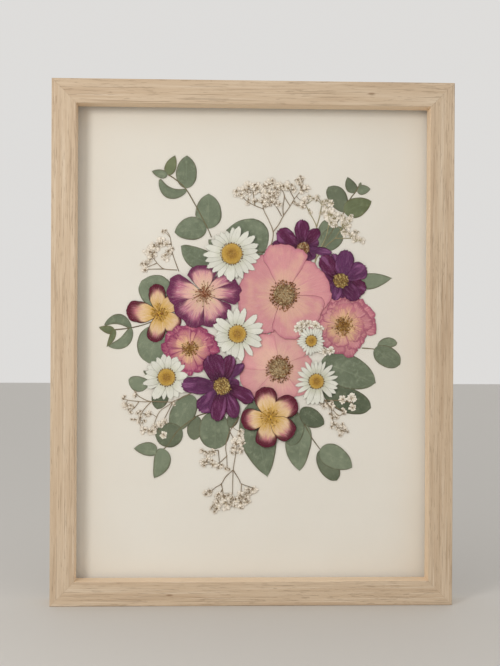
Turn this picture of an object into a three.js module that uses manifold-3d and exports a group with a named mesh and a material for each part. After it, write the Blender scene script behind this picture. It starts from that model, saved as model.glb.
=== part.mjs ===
// A pressed flower frame: four mitred box-profile rails, a glass pane, and a sheet of paper
// carrying pressed daisies, roses, eucalyptus and gypsophila in layers, with a backing board
// held in the rebate by metal tabs.
//
// Millimetres, +Z up, front towards -Y. The origin is the middle of the frame's foot.
// Flower, leaf and spray places are [x, z] from the middle of the sight opening, seen from
// the front, with x to the right and z up. Angles are in degrees, from +x towards +z.

import * as THREE from 'three';
import { mergeVertices } from 'three/addons/utils/BufferGeometryUtils.js';
import Module from 'manifold-3d';

const wasm = await Module();
wasm.setup();

// ---- Driving dimensions -------------------------------------------------------------------

const FRAME = {
  width: 330,
  height: 430,
  depth: 32,
  railWidth: 20,
  lipDepth: 17,        // front face to the glass
  rebate: 5,           // width of the step that the glass rests against
  arris: 0.9,          // rounding of the front and back edges
  mitreGap: 0.03,      // half the hairline gap at each mitred corner
};
const STACK = {
  sideClearance: 0.5,  // play between the sheets and the rebate wall
  glass: 2,
  flowerSpace: 3,      // room that the layers of specimens take
  paper: 0.6,
  backing: 3,
  playBehind: 0.1,     // play between one sheet and the next
};
const LAYER = {
  first: 0.1,          // paper to the back of the lowest layer
  pitch: 0.3,
  thickness: 0.2,      // one pressed petal or leaf
  glassPlay: 0.08,     // top of the flower centres to the glass
};
const TAB = { width: 8, reach: 14, thickness: 0.5, wallPlay: 0.3 };
const HANGER = { width: 46, height: 10, thickness: 1.2, teeth: 9, toothDepth: 2.2, below: 5 };
const STEM_WIDTH = 0.9;
const SPRAY_STEM_WIDTH = 0.5;
const OUTLINE_TOLERANCE = 0.12;
const LEAST_GAP = 0.4;   // area in mm2 under which a chink between petals is closed
const FLORET_SIDES = 5;
const HUB_SIDES = 12;

const OVERALL_DEPTH = FRAME.depth + HANGER.thickness;
const FRONT_Y = -OVERALL_DEPTH / 2;
const GLASS_FRONT_Y = FRONT_Y + FRAME.lipDepth + STACK.playBehind;
const PAPER_FRONT_Y = GLASS_FRONT_Y + STACK.glass + STACK.flowerSpace;
const BACKING_FRONT_Y = PAPER_FRONT_Y + STACK.paper + STACK.playBehind;
const TAB_FRONT_Y = BACKING_FRONT_Y + STACK.backing + STACK.playBehind;
const MIDDLE_Z = FRAME.height / 2;

// ---- Colours ------------------------------------------------------------------------------

const FINISH = {
  wood: { color: 0xd2c3a6, roughness: 0.62, metalness: 0 },
  glass: { color: 0xf2f6f5, roughness: 0.05, metalness: 0, transparent: true, opacity: 0.15 },
  paper: { color: 0xded6c6, roughness: 0.9, metalness: 0 },
  board: { color: 0x8a6a48, roughness: 0.85, metalness: 0 },
  steel: { color: 0xb4b6b8, roughness: 0.35, metalness: 1 },
  leaf: { color: 0x6f7a63, roughness: 0.75, metalness: 0 },
  spray: { color: 0xcdc0a4, roughness: 0.85, metalness: 0 },
  white: { color: 0xe3e2d6, roughness: 0.8, metalness: 0 },
  disc: { color: 0xc29324, roughness: 0.85, metalness: 0 },
  pink: { color: 0xd6949a, roughness: 0.75, metalness: 0 },
  stamen: { color: 0x8a6440, roughness: 0.85, metalness: 0 },
  purple: { color: 0x5a2c55, roughness: 0.75, metalness: 0 },
  ochre: { color: 0xa6834a, roughness: 0.85, metalness: 0 },
  dusky: { color: 0xb0626f, roughness: 0.75, metalness: 0 },
  magenta: { color: 0xb2557d, roughness: 0.75, metalness: 0 },
  edged: { color: 0xd0a0a0, roughness: 0.75, metalness: 0 },
  cream: { color: 0xd8b783, roughness: 0.75, metalness: 0 },
};

// ---- Flowers ------------------------------------------------------------------------------
// at: middle of the flower. layer: how far up the stack it lies, 0 on the paper.
// petals: [angle, length, width] for strap petals, [angle, length, half angle] for fan petals.
// disc: radius and height of the centre.

const ROUND_PETAL = { taper: 0.75, blunt: 0.36, stations: [0.4, 0.7, 0.92] };
const DAISY_PETAL = { taper: 0.45, blunt: 0.26, stations: [0.85] };
const NARROW_PETAL = { taper: 0.8, blunt: 0.42, stations: [0.4, 0.72, 0.93] };
const FAN = { fan: true, drop: 0.14, corner: 4, steps: 8 };
const SHORT_FAN = { fan: true, drop: 0.12, corner: 3, steps: 5 };

const FLOWERS = {
  daisy_top: {
    at: [-17.5, 74.3], layer: 6, finish: 'white', centre: 'disc', disc: [8.8, 0.75], shape: DAISY_PETAL,
    petals: [
      [356, 24, 6], [342, 22.5, 6], [325, 24, 5.5], [311, 21.8, 6], [293, 23.2, 5.5], [268, 23.8, 8.5],
      [240, 23.3, 5.5], [224, 22.8, 6], [210, 24.3, 6], [196, 23.4, 6], [182, 24.5, 6], [165, 24, 6.5],
      [149, 21, 6], [133, 21, 6], [118, 20.5, 6], [103, 20.5, 6], [89, 22.7, 5], [74, 24.5, 7],
      [54, 23.9, 5.5], [38, 25, 6], [18, 24.2, 7], [282, 21, 6],
    ],
  },
  daisy_middle: {
    at: [-12.5, 7.5], layer: 6, finish: 'white', centre: 'disc', disc: [7.4, 0.75], shape: DAISY_PETAL,
    petals: [
      [111, 22.3, 5.5], [92, 22.5, 6], [74, 23.2, 5.5], [45, 23.5, 6], [22, 23.4, 6], [8, 22.4, 5.5],
      [346, 21.5, 7], [334, 23.2, 7], [305, 22.8, 4.6], [279, 23.6, 7], [262, 22, 7], [246, 20, 8],
      [229, 20, 8], [212, 19.6, 8], [195, 19.6, 8], [182, 18.6, 7], [160, 22, 6.6], [145, 22.4, 6.6],
    ],
  },
  daisy_lower_left: {
    at: [-71.3, -28.8], layer: 4, finish: 'white', centre: 'disc', disc: [7.3, 0.9], shape: DAISY_PETAL,
    petals: [
      [116, 18.8, 5.5], [98, 20, 6], [84, 18.6, 5.5], [63, 19.5, 7], [49, 17.8, 6], [34, 18.6, 5],
      [6, 18.4, 7], [348, 19, 7], [323, 20.4, 8], [300, 19.6, 7], [282, 19.4, 6.5], [263, 19.2, 4],
      [240, 21.6, 8], [224, 19.6, 6], [196, 21, 5.6], [210, 18.8, 5.6], [179, 19.4, 5.4],
      [165, 18.6, 5.4], [150, 19, 6], [134, 18.6, 6],
    ],
  },
  daisy_lower_right: {
    at: [53.8, -31.8], layer: 4, finish: 'white', centre: 'disc', disc: [6.3, 0.9], shape: DAISY_PETAL,
    petals: [
      [92, 18, 3], [78, 18.2, 3.4], [65, 18.8, 3.2], [46, 19.6, 4], [29, 18.2, 3.4], [13, 18.9, 3.6],
      [353, 18.9, 5], [342, 19.1, 4], [329, 19.6, 4.2], [315, 19, 4.2], [286, 19.6, 5], [271, 20.2, 6],
      [251, 21.6, 6], [234, 18.8, 3.8], [211, 18.6, 3.8], [192, 18.6, 3.4], [174, 16.6, 3],
      [154, 18, 4], [138, 17.8, 4], [120, 19.4, 3.2], [104, 17, 3],
    ],
  },
  daisy_small: {
    at: [49.3, 2], layer: 6, finish: 'white', centre: 'disc', disc: [4.7, 0.75], shape: DAISY_PETAL,
    petals: [
      [0, 12, 3], [18, 12.4, 3], [36, 11.6, 3], [54, 12.2, 3], [72, 11.4, 3], [90, 12, 3],
      [108, 11.6, 3], [126, 12, 3], [144, 11.2, 3], [162, 11.8, 3], [178, 13.4, 2.8], [198, 11, 3],
      [216, 11.6, 3], [234, 11.2, 3], [252, 12, 3], [270, 11.6, 3], [288, 12.2, 3], [306, 12.6, 3.4],
      [324, 12.8, 3.4], [342, 12.4, 3],
    ],
  },
  pink_upper: {
    at: [26.5, 40], layer: 4, finish: 'pink', centre: 'stamen', disc: [11.8, 1.2], shape: FAN,
    petals: [[97, 42.5, 34], [24, 38.6, 42], [330, 36.6, 32], [269, 31.6, 38], [188, 40.6, 58]],
  },
  pink_lower: {
    at: [22.5, -21], layer: 2, finish: 'pink', centre: 'stamen', disc: [10.8, 1.6], shape: FAN,
    petals: [[72, 32, 46], [140, 33, 38], [203, 34, 38], [268, 28, 42], [338, 29.5, 46]],
  },
  purple_upper: {
    at: [42, 79], layer: 2, finish: 'purple', centre: 'ochre', disc: [5.4, 0.3], shape: NARROW_PETAL,
    petals: [
      [95, 24.5, 11.5], [76, 20.5, 9], [56, 21, 9.5], [133, 25.8, 15], [165, 26.4, 10], [28, 13.6, 9],
      [352, 12.2, 7], [324, 13, 8], [298, 12.8, 7], [190, 18, 9], [225, 17, 9], [262, 16, 9],
    ],
  },
  purple_right: {
    at: [73.8, 52.5], layer: 3, finish: 'purple', centre: 'ochre', disc: [6.4, 0.9], shape: ROUND_PETAL,
    petals: [
      [77, 27.2, 14.5], [126, 27.2, 15], [155, 20.6, 13], [32, 25.6, 20], [334, 25.6, 19],
      [248, 17.6, 9.5], [276, 14.6, 10], [304, 18.5, 10], [204, 13, 11],
    ],
  },
  purple_lower: {
    at: [-25, -36], layer: 7, finish: 'purple', centre: 'ochre', disc: [6.9, 0.5], shape: NARROW_PETAL,
    petals: [
      [118, 28.6, 21], [83, 29.4, 13], [47, 26, 6.5], [18, 14.5, 9], [336, 28.2, 11.5], [295, 30, 12.5],
      [263, 30.4, 13], [237, 29, 14], [216, 28, 15], [179, 34, 14],
    ],
  },
  dusky: {
    at: [76, 15], layer: 2, finish: 'dusky', centre: 'ochre', disc: [8.4, 1.2], shape: SHORT_FAN,
    petals: [
      [358, 28.4, 17], [27, 28.2, 16], [50, 27, 15], [75, 25.8, 18], [105, 24.8, 18], [136, 24, 18],
      [165, 23.4, 16], [196, 19.4, 18], [226, 24, 17], [256, 24.6, 18], [284, 27.2, 15],
      [311, 23.2, 17], [336, 21.4, 15],
    ],
  },
  magenta: {
    at: [-52, -5], layer: 3, finish: 'magenta', centre: 'ochre', disc: [6.4, 1.1], shape: SHORT_FAN,
    petals: [
      [2, 24.6, 15], [27, 22, 16], [56, 21, 18], [90, 21, 18], [122, 21.6, 18], [150, 23.2, 14],
      [178, 23.8, 15], [205, 22.4, 15], [232, 20.8, 17], [262, 22.4, 17], [294, 21, 18], [327, 21, 17],
    ],
  },
  edged: {
    at: [-40.5, 41], layer: 5, finish: 'edged', centre: 'stamen', disc: [5.6, 0.9], shape: FAN,
    petals: [
      [171, 31, 29], [117, 23.8, 14], [88, 20.4, 40], [1, 31, 17], [32, 23.5, 24], [302, 28.6, 34],
      [234, 30, 35],
    ],
  },
  bicolour_left: {
    at: [-77.5, 24.5], layer: 2, finish: 'cream', centre: 'ochre', disc: [3.2, 0.8], shape: ROUND_PETAL,
    petals: [[98, 25, 14.5], [176, 28, 18.5], [260, 25, 15.5], [37, 21, 15], [321, 21, 16.5]],
  },
  bicolour_lower: {
    at: [15, -62], layer: 8, finish: 'cream', centre: 'ochre', disc: [3.2, 0.2], shape: ROUND_PETAL,
    petals: [[103, 26.4, 18.4], [35, 26.8, 19.6], [322, 25.2, 20], [261, 25.8, 18.8], [187, 24.8, 18.2]],
  },
};

// ---- Eucalyptus ---------------------------------------------------------------------------
// leaves: [base x, base z, tip x, tip z, half width on the left of base-to-tip, half width on
// the right, bow to the left]. stems: runs of points.

const LEAF = { taper: 0.55, blunt: 0.5, stations: [0.1, 0.3, 0.55, 0.8, 0.95] };

const EUCALYPTUS = {
  eucalyptus_top_left: {
    layer: 1,
    leaves: [
      [-56, 128.7, -55.2, 156, 8.6, 8.8, 0], [-71, 139.8, -65.5, 155.4, 5, 4.6, 0],
      [-71.5, 139, -84, 142.4, 3.9, 3.8, 0], [-55.4, 126.3, -78.5, 135, 4.6, 4.6, 6.5],
      [-37.5, 95.2, -37, 124, 10.8, 11.2, 0], [-38.7, 95, -65.3, 92, 8, 11.3, 0],
    ],
    stems: [[[-71, 140], [-64.5, 135.8], [-56, 128], [-47, 113], [-38, 96], [-34.5, 88]]],
  },
  eucalyptus_top: {
    layer: 0,
    leaves: [
      [10, 76, -22.3, 94.2, 10, 21, 0], [-29, 66, -60, 80.6, 9.2, 9.2, 3.5],
      [-25, 74, -37, 86.2, 4, 4, 0],
    ],
    stems: [[[10, 76], [-25, 74]], [[-25, 74], [-29, 66]]],
  },
  eucalyptus_top_right: {
    layer: 0,
    leaves: [
      [86, 126.4, 79.3, 139, 4.8, 4.7, 1.1], [87, 128.3, 98.2, 129.4, 4.4, 4.5, 0],
      [76.5, 110, 63.6, 130.3, 6, 9.4, 0], [76.5, 110.3, 99, 119, 8, 8.4, 0],
      [57.5, 79.5, 60, 103.2, 5.2, 8.5, 0], [59.5, 79, 75.5, 97.3, 9.5, 8, 0],
    ],
    stems: [[[90, 134], [86, 127], [81.5, 121], [76.5, 110], [70, 100], [57.5, 79], [52, 68]]],
  },
  leaf_right: { layer: 0, leaves: [[88, 51.5, 116.6, 54.8, 6.3, 7.3, 0]], stems: [] },
  eucalyptus_left: {
    layer: 0,
    leaves: [
      [-72, 31, -92.5, 51.5, 11, 16, 0], [-78, 14, -86, -17.4, 12, 14, 0],
      [-100.5, 12.3, -123.2, 15, 4.3, 4.5, -5.7], [-100.5, 12, -119.5, -3.6, 4.8, 4.6, 4.7],
      [-114.5, 9.5, -127.5, 12.4, 3.6, 3.2, 0], [-114.5, 11, -121, -3.7, 2.4, 2.4, 0.8],
    ],
    stems: [[[-114.5, 10.5], [-101, 12.2], [-87, 16], [-74, 22]], [[-72, 31], [-74, 22], [-78, 14]]],
  },
  eucalyptus_lower_left: {
    layer: 0,
    leaves: [
      [-86, -35, -103, -31, 6.5, 6.4, 1.5], [-84, -29, -90.7, -23.3, 1.6, 1.8, 0],
      [-75.5, -38, -79, -55.6, 7.5, 6.5, 0],
    ],
    stems: [[[-86, -35], [-75, -34], [-75.5, -38]], [[-84, -29], [-75, -34]]],
  },
  eucalyptus_bottom_left: {
    layer: 1,
    leaves: [
      [-49, -44, -65, -73.3, 9.5, 10.5, 0], [-57.5, -75, -80.5, -77.5, 11, 9.5, 0],
      [-78.8, -91, -97.6, -88.5, 4.4, 7.2, 0], [-74, -88.3, -81, -112, 7.4, 7.3, 2.4],
    ],
    stems: [[[-46.5, -61.5], [-61.5, -73], [-71, -86.5], [-78.8, -91]]],
  },
  eucalyptus_bottom: {
    layer: 0,
    leaves: [
      [-46, -61, -48.5, -81.2, 6, 6.8, 0], [-31, -57, -30.5, -88.8, 12.5, 13.5, 0],
      [-14, -57, -18.5, -71, 5, 4.5, 0],
    ],
    stems: [[[-46, -61], [-31, -57], [-14, -57]]],
  },
  eucalyptus_bottom_right: {
    layer: 1,
    leaves: [
      [5, -47, 12.8, -111, 15, 16.5, -2.5], [36, -57, 32, -86, 10, 7.5, 0],
      [44.5, -68, 40, -106.2, 8.5, 13, -1.5], [41, -55, 60.3, -67.5, 6.3, 9.2, 0],
      [57.5, -88.5, 83.6, -103.3, 10, 9.6, 0], [57, -89.5, 71.5, -114.8, 8, 8.3, 0],
    ],
    stems: [[[5, -47], [22, -50], [36, -57], [44.5, -69], [50.5, -79.5], [57.5, -89]]],
  },
  eucalyptus_lower_right: {
    layer: 0,
    leaves: [[58, -15, 103.6, -32.5, 14.3, 13.8, 0], [60, -38, 100, -54, 9.5, 12, 0]],
    stems: [[[58, -15], [56, -26], [60, -38]]],
  },
  eucalyptus_right: {
    layer: 0,
    leaves: [[105, -3, 121.8, 0.8, 4.8, 4.5, 1.5], [102.5, -4.5, 124.3, -17.5, 8.6, 8.8, 0]],
    stems: [[[92, -3.8], [99, -4.3], [105, -5]]],
  },
};

// ---- Gypsophila ---------------------------------------------------------------------------
// stems: runs of points. florets: [x, z, radius].

const SPRAYS = {
  gypsophila_upper_left: {
    layer: 1,
    stems: [
      [[-61.5, 59.5], [-64, 66], [-67, 75], [-68.5, 87]],
      [[-62, 60.3], [-73.5, 61.3], [-80.5, 66.5], [-89, 66]],
      [[-73.5, 61.3], [-89.5, 61]], [[-67.5, 78], [-76, 81], [-83, 79]], [[-80.5, 66.5], [-84, 72]],
    ],
    florets: [
      [-89, 66, 2.6], [-89.5, 61, 2.8], [-73, 72, 3.6], [-84, 73, 3.6], [-82, 81, 4.6], [-76, 83, 3.8],
      [-69, 86, 2.2], [-71, 77, 3],
    ],
  },
  gypsophila_top: {
    layer: 2,
    stems: [
      [[17, 92], [13, 103], [8.5, 112], [8.5, 135]],
      [[17, 93], [25.5, 106.5], [34.5, 120.5], [39.5, 127.5]],
      [[25.5, 106.5], [25.5, 122], [22.5, 131]], [[25, 108], [16, 117.5], [8.5, 118]],
      [[34.5, 120.5], [30, 130]], [[8.5, 117], [-4, 117], [-9.5, 122], [-14, 123]],
      [[1.5, 117], [0.4, 128], [7.5, 124.5]],
    ],
    florets: [
      [8, 118.5, 3], [14, 120.5, 3.4], [12, 127, 3.8], [19, 124, 3.4], [23, 132, 3.4], [17, 130, 3],
      [30, 131, 4], [12.5, 135, 3.8], [38, 135.5, 3], [44, 129, 2.8], [43.5, 117.5, 3.2], [-13.5, 126, 3.4],
      [-7, 128, 3.2], [-1, 131.5, 3.6], [4, 129, 3],
    ],
  },
  gypsophila_top_right: {
    layer: 1,
    stems: [
      [[52, 67], [56.5, 79], [61.5, 90], [64, 102]], [[56.5, 79], [69, 88], [74.5, 97]],
      [[55, 75], [53.3, 97], [47.5, 109], [44, 116]], [[69, 88], [84, 88]],
    ],
    florets: [
      [66, 101, 3.2], [77, 93, 3], [64, 109, 5.4], [59, 117, 2.6], [67, 116.5, 3.2], [80, 101, 4],
      [85, 90, 4], [47.5, 122, 2.8], [54.5, 122, 2.2], [57, 110, 2.4],
    ],
  },
  gypsophila_lower_left: {
    layer: 2,
    stems: [
      [[-50, -41.5], [-66, -49.5], [-77, -57.5], [-80.5, -67]], [[-66, -49.5], [-74, -65.5]],
      [[-66, -49.5], [-84, -49], [-101, -48.5], [-108, -47]], [[-84, -49], [-91, -57], [-94.5, -65]],
      [[-94, -48.8], [-97.5, -54]],
    ],
    florets: [
      [-104.5, -52.3, 2.8], [-101, -57.7, 1.8], [-98.2, -64, 1.2], [-94.3, -65, 2.2], [-87, -59.5, 2.6],
      [-94, -57.8, 2], [-82.5, -73, 3.6], [-89.5, -72, 3], [-77, -69, 2.6], [-73.7, -77, 3.5],
      [-106.5, -47, 1.6],
    ],
  },
  gypsophila_bottom: {
    layer: 2,
    stems: [
      [[-10.5, -62], [-18.5, -74], [-21.8, -86], [-20.5, -94], [-20.3, -104]],
      [[-18.5, -74], [-13, -86], [-15.5, -106], [-15.7, -128]],
      [[-15.5, -106], [-25.3, -117.5], [-34, -123.5]],
      [[-15.5, -106], [-8.5, -117.5], [1, -121]], [[-8.5, -117.5], [-9, -128]],
      [[-25.3, -117.5], [-23.5, -127]], [[-20.5, -94], [-27, -100], [-32, -101.5]],
      [[-28, -89.5], [-27, -100]], [[-28, -89.5], [-38, -91]],
    ],
    florets: [
      [-37.5, -91.5, 3], [-31.5, -91.5, 2.8], [-40.5, -100.5, 3], [-32, -102, 2.8], [-27.5, -103.5, 2.4],
      [-15, -87.5, 3], [-9.5, -87.8, 2], [-21.5, -104.5, 2], [-35, -124.5, 3], [-25.5, -127, 4.6],
      [-29, -135, 4], [-20, -134, 4.6], [-14.5, -130, 4.4], [-9, -133, 4.2], [-5, -129.5, 3.6],
      [1.5, -122, 3],
    ],
  },
  gypsophila_lower_right: {
    layer: 2,
    stems: [
      [[60, -47], [66, -54], [67.2, -62], [68.5, -67]], [[61, -47.5], [76.5, -57.5]],
      [[61, -47.5], [76, -48], [84, -50], [84.5, -53.5]], [[68.5, -67], [75, -73]],
    ],
    florets: [
      [65.5, -53, 2.8], [77, -58.5, 2], [68.5, -67.5, 2.2], [75.5, -68, 2], [75, -73.3, 2.4],
      [75.8, -47, 3.6], [83.4, -45.8, 4.2], [84.6, -53.8, 3.4], [60.5, -52.3, 2],
    ],
  },
  white_florets: {
    layer: 5,
    stems: [[[41, 13], [49, 6], [60, -4], [65, -6.5]], [[49, 6], [52, 14]]],
    florets: [[40, 13.5, 6.6], [51.5, 14.3, 6.4], [56, -4, 4.4], [60, -6, 3.2], [65.2, -6.2, 3.8]],
  },
};

// ---- Geometry helpers ---------------------------------------------------------------------

/** A finished mesh of one closed body, named for its node. */
function mesh(name, geometry, finish) {
  const result = new THREE.Mesh(geometry, new THREE.MeshStandardMaterial(FINISH[finish]));
  result.name = name;
  return result;
}

/** Turns a closed three.js geometry into a manifold solid. */
function toSolid(geometry) {
  const bare = geometry.clone();
  bare.deleteAttribute('normal');
  bare.deleteAttribute('uv');
  const merged = mergeVertices(bare, 1e-4);
  return new wasm.Manifold(new wasm.Mesh({
    numProp: 3,
    vertProperties: new Float32Array(merged.attributes.position.array),
    triVerts: new Uint32Array(merged.index.array),
  }));
}

/** Turns a manifold solid back into a three.js geometry. */
function toGeometry(solid) {
  const { vertProperties, triVerts } = solid.getMesh();
  const geometry = new THREE.BufferGeometry();
  geometry.setAttribute('position', new THREE.BufferAttribute(vertProperties, 3));
  geometry.setIndex(new THREE.BufferAttribute(triVerts, 1));
  geometry.computeVertexNormals();
  return geometry;
}

/** A flat plate with [x, z] outlines, its back at backY and its front nearer to -Y. */
function plate(outline, backY, thickness, openings = []) {
  const points = (ring) => ring.map(([x, z]) => new THREE.Vector2(x, z));
  const shape = new THREE.Shape(points(outline));
  shape.holes = openings.map((ring) => new THREE.Path(points(ring)));
  const geometry = new THREE.ExtrudeGeometry(shape, { depth: thickness, bevelEnabled: false, steps: 1 });
  geometry.rotateX(Math.PI / 2);
  geometry.translate(0, backY, MIDDLE_Z);
  return geometry;
}

/** One closed body from outlines that overlap, all in one layer. */
function joinedPlate(outlines, layer) {
  const backY = PAPER_FRONT_Y - LAYER.first - layer * LAYER.pitch;
  const sections = outlines.map((outline) => new wasm.CrossSection([outline], 'NonZero'));
  const rings = wasm.CrossSection.union(sections).simplify(OUTLINE_TOLERANCE).toPolygons();
  const area = (ring) => THREE.ShapeUtils.area(ring.map(([x, z]) => new THREE.Vector2(x, z)));
  const outer = rings.filter((ring) => area(ring) > 0);
  if (outer.length !== 1) throw new Error('the outlines of a specimen do not all overlap');
  return plate(outer[0], backY, LAYER.thickness, rings.filter((ring) => area(ring) < -LEAST_GAP));
}

/** The y of the front of a layer's plates. */
function layerFront(layer) {
  return PAPER_FRONT_Y - LAYER.first - layer * LAYER.pitch - LAYER.thickness;
}

/**
 * Half width of a petal or leaf at a share s of its length. It is s to the power taper times
 * (1 - s) to the power blunt, scaled so that the widest place is 1.
 */
function bulge(s, { taper, blunt }) {
  const widest = taper / (taper + blunt);
  return (s / widest) ** taper * ((1 - s) / (1 - widest)) ** blunt;
}

/** Outline from base to tip and back, with its own half width on each side and a sideways bow. */
function bladeOutline([baseX, baseZ], [tipX, tipZ], left, right, bow, shape) {
  const along = new THREE.Vector2(tipX - baseX, tipZ - baseZ);
  const length = along.length();
  along.normalize();
  const side = new THREE.Vector2(-along.y, along.x);
  const at = (s, offset) => {
    const shift = offset + bow * 4 * s * (1 - s);
    return [baseX + along.x * s * length + side.x * shift, baseZ + along.y * s * length + side.y * shift];
  };
  const leftSide = shape.stations.map((s) => at(s, left * bulge(s, shape)));
  const rightSide = shape.stations.map((s) => at(s, -right * bulge(s, shape))).reverse();
  return [at(0, 0), ...leftSide, at(1, 0), ...rightSide];
}

/** Outline of a strap petal that grows from the middle of its flower. */
function strapPetal([x, z], [angle, length, width], shape) {
  const turn = THREE.MathUtils.degToRad(angle);
  const tip = [x + length * Math.cos(turn), z + length * Math.sin(turn)];
  return bladeOutline([x, z], tip, width / 2, width / 2, 0, shape);
}

/**
 * Outline of a fan petal: a sector whose reach falls from its middle to its sides by the share
 * drop, with the power corner deciding how late it falls.
 */
function fanPetal([x, z], [angle, length, halfAngle], { drop, corner, steps }) {
  const rim = Array.from({ length: steps + 1 }, (_, i) => {
    const across = (2 * i) / steps - 1;
    const turn = THREE.MathUtils.degToRad(angle + halfAngle * across);
    const reach = length * (1 - drop * Math.abs(across) ** corner);
    return [x + reach * Math.cos(turn), z + reach * Math.sin(turn)];
  });
  return [[x, z], ...rim];
}

/** Outlines of one straight strip for each step of a stem's run of points. */
function stemStrips(run, width) {
  return run.slice(1).map((end, i) => {
    const [x0, z0] = run[i];
    const [x1, z1] = end;
    const length = Math.hypot(x1 - x0, z1 - z0);
    const dx = ((x1 - x0) / length) * (width / 2);
    const dz = ((z1 - z0) / length) * (width / 2);
    return [
      [x0 - dx - dz, z0 - dz + dx], [x0 - dx + dz, z0 - dz - dx],
      [x1 + dx + dz, z1 + dz - dx], [x1 + dx - dz, z1 + dz + dx],
    ];
  });
}

/** The strip that carries a floret, from the nearest place on the spray's stems. */
function stalk([x, z, radius], runs) {
  const head = new THREE.Vector3(x, 0, z);
  const steps = runs.flatMap((run) => run.slice(1).map(([x1, z1], i) => (
    new THREE.Line3(new THREE.Vector3(run[i][0], 0, run[i][1]), new THREE.Vector3(x1, 0, z1)))));
  const feet = steps.map((step) => step.closestPointToPoint(head, true, new THREE.Vector3()));
  const nearer = (best, point) => (point.distanceTo(head) < best.distanceTo(head) ? point : best);
  const foot = feet.reduce(nearer);
  const reach = foot.distanceTo(head);
  return reach < radius / 2 ? [] : stemStrips([[foot.x, foot.z], [x, z]], SPRAY_STEM_WIDTH);
}

/** Outline of a floret, or of the receptacle that joins a flower's petals, as a polygon. */
function roundOutline([x, z, radius], sides) {
  return Array.from({ length: sides }, (_, i) => {
    const turn = (i * 2 * Math.PI) / sides;
    return [x + radius * Math.cos(turn), z + radius * Math.sin(turn)];
  });
}

/** A low dome facing the glass, from a profile turned about the flower's middle. */
function dome([x, z], backY, radius, height) {
  const profile = [[0, 0], [radius, 0], [radius * 0.8, height * 0.8], [0, height]];
  const points = profile.map(([r, y]) => new THREE.Vector2(r, y));
  const geometry = new THREE.LatheGeometry(points, HUB_SIDES);
  geometry.rotateX(Math.PI);
  geometry.translate(x, backY, MIDDLE_Z + z);
  return toGeometry(toSolid(geometry));
}

// ---- The frame ----------------------------------------------------------------------------

/** The rail's section as [distance in from the outer face, depth from the front] points. */
function railProfile() {
  const { railWidth, depth, lipDepth, rebate, arris } = FRAME;
  const back = railWidth - rebate;
  const round = (u, w, startTurn) => [0, 1, 2, 3].map((i) => {
    const turn = startTurn + (i * Math.PI) / 6;
    return [u + arris * Math.cos(turn), w + arris * Math.sin(turn)];
  });
  return [
    ...round(arris, arris, Math.PI),
    ...round(railWidth - arris, arris, 1.5 * Math.PI),
    [railWidth, lipDepth], [back, lipDepth], [back, depth], [0, depth],
  ];
}

/**
 * One rail: the section carried along x with ends cut at 45 degrees, so that each edge of the
 * section is as long as its distance in from the outer face leaves it.
 */
function railGeometry(outerLength) {
  const profile = railProfile();
  const count = profile.length;
  const half = (u) => outerLength / 2 - u - FRAME.mitreGap * Math.SQRT2;
  const positions = [];
  for (const sign of [-1, 1]) {
    for (const [u, w] of profile) positions.push(sign * half(u), w, u);
  }
  const index = [];
  for (let i = 0; i < count; i += 1) {
    const next = (i + 1) % count;
    index.push(i, next, count + next, i, count + next, count + i);
  }
  const caps = THREE.ShapeUtils.triangulateShape(profile.map(([u, w]) => new THREE.Vector2(u, w)), []);
  for (const [a, b, c] of caps) {
    index.push(a, c, b, count + a, count + b, count + c);
  }
  const geometry = new THREE.BufferGeometry();
  geometry.setAttribute('position', new THREE.Float32BufferAttribute(positions, 3));
  geometry.setIndex(index);
  const solid = toSolid(geometry);
  if (solid.volume() > 0) return toGeometry(solid);
  geometry.setIndex(index.flatMap((_, i) => (i % 3 ? [] : [index[i], index[i + 2], index[i + 1]])));
  return toGeometry(toSolid(geometry));
}

/** Turns a rail about the frame's middle so that its outer edge faces out on its own side. */
function placedRail(name, outerLength, turn, fromMiddle) {
  const geometry = railGeometry(outerLength);
  geometry.translate(0, FRONT_Y, -fromMiddle);
  geometry.rotateY(turn);
  geometry.translate(0, 0, MIDDLE_Z);
  return mesh(name, geometry, 'wood');
}

function rails() {
  const { width, height } = FRAME;
  return [
    placedRail('rail_bottom', width, 0, height / 2),
    placedRail('rail_top', width, Math.PI, height / 2),
    placedRail('rail_left', height, Math.PI / 2, width / 2),
    placedRail('rail_right', height, -Math.PI / 2, width / 2),
  ];
}

/** A sheet that fills the rebate from side to side, apart from its clearance. */
function sheet(name, frontY, thickness, finish) {
  const inset = FRAME.railWidth - FRAME.rebate + STACK.sideClearance;
  const geometry = new THREE.BoxGeometry(FRAME.width - 2 * inset, thickness, FRAME.height - 2 * inset);
  geometry.translate(0, frontY + thickness / 2, MIDDLE_Z);
  return mesh(name, geometry, finish);
}

function sheets() {
  return [
    sheet('glass_pane', GLASS_FRONT_Y, STACK.glass, 'glass'),
    sheet('paper_sheet', PAPER_FRONT_Y, STACK.paper, 'paper'),
    sheet('backing_board', BACKING_FRONT_Y, STACK.backing, 'board'),
  ];
}

/** Flat metal tabs, one at the middle of each rebate wall, lying on the backing board. */
function tabs() {
  const wall = FRAME.railWidth - FRAME.rebate + TAB.wallPlay;
  const y = TAB_FRONT_Y + TAB.thickness / 2;
  const sides = { bottom: [0, -1], top: [0, 1], left: [-1, 0], right: [1, 0] };
  return Object.entries(sides).map(([side, [sx, sz]]) => {
    const size = sx ? [TAB.reach, TAB.width] : [TAB.width, TAB.reach];
    const geometry = new THREE.BoxGeometry(size[0], TAB.thickness, size[1]);
    geometry.translate(
      sx * (FRAME.width / 2 - wall - TAB.reach / 2),
      y,
      MIDDLE_Z + sz * (FRAME.height / 2 - wall - TAB.reach / 2),
    );
    return mesh(`tab_${side}`, geometry, 'steel');
  });
}

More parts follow.
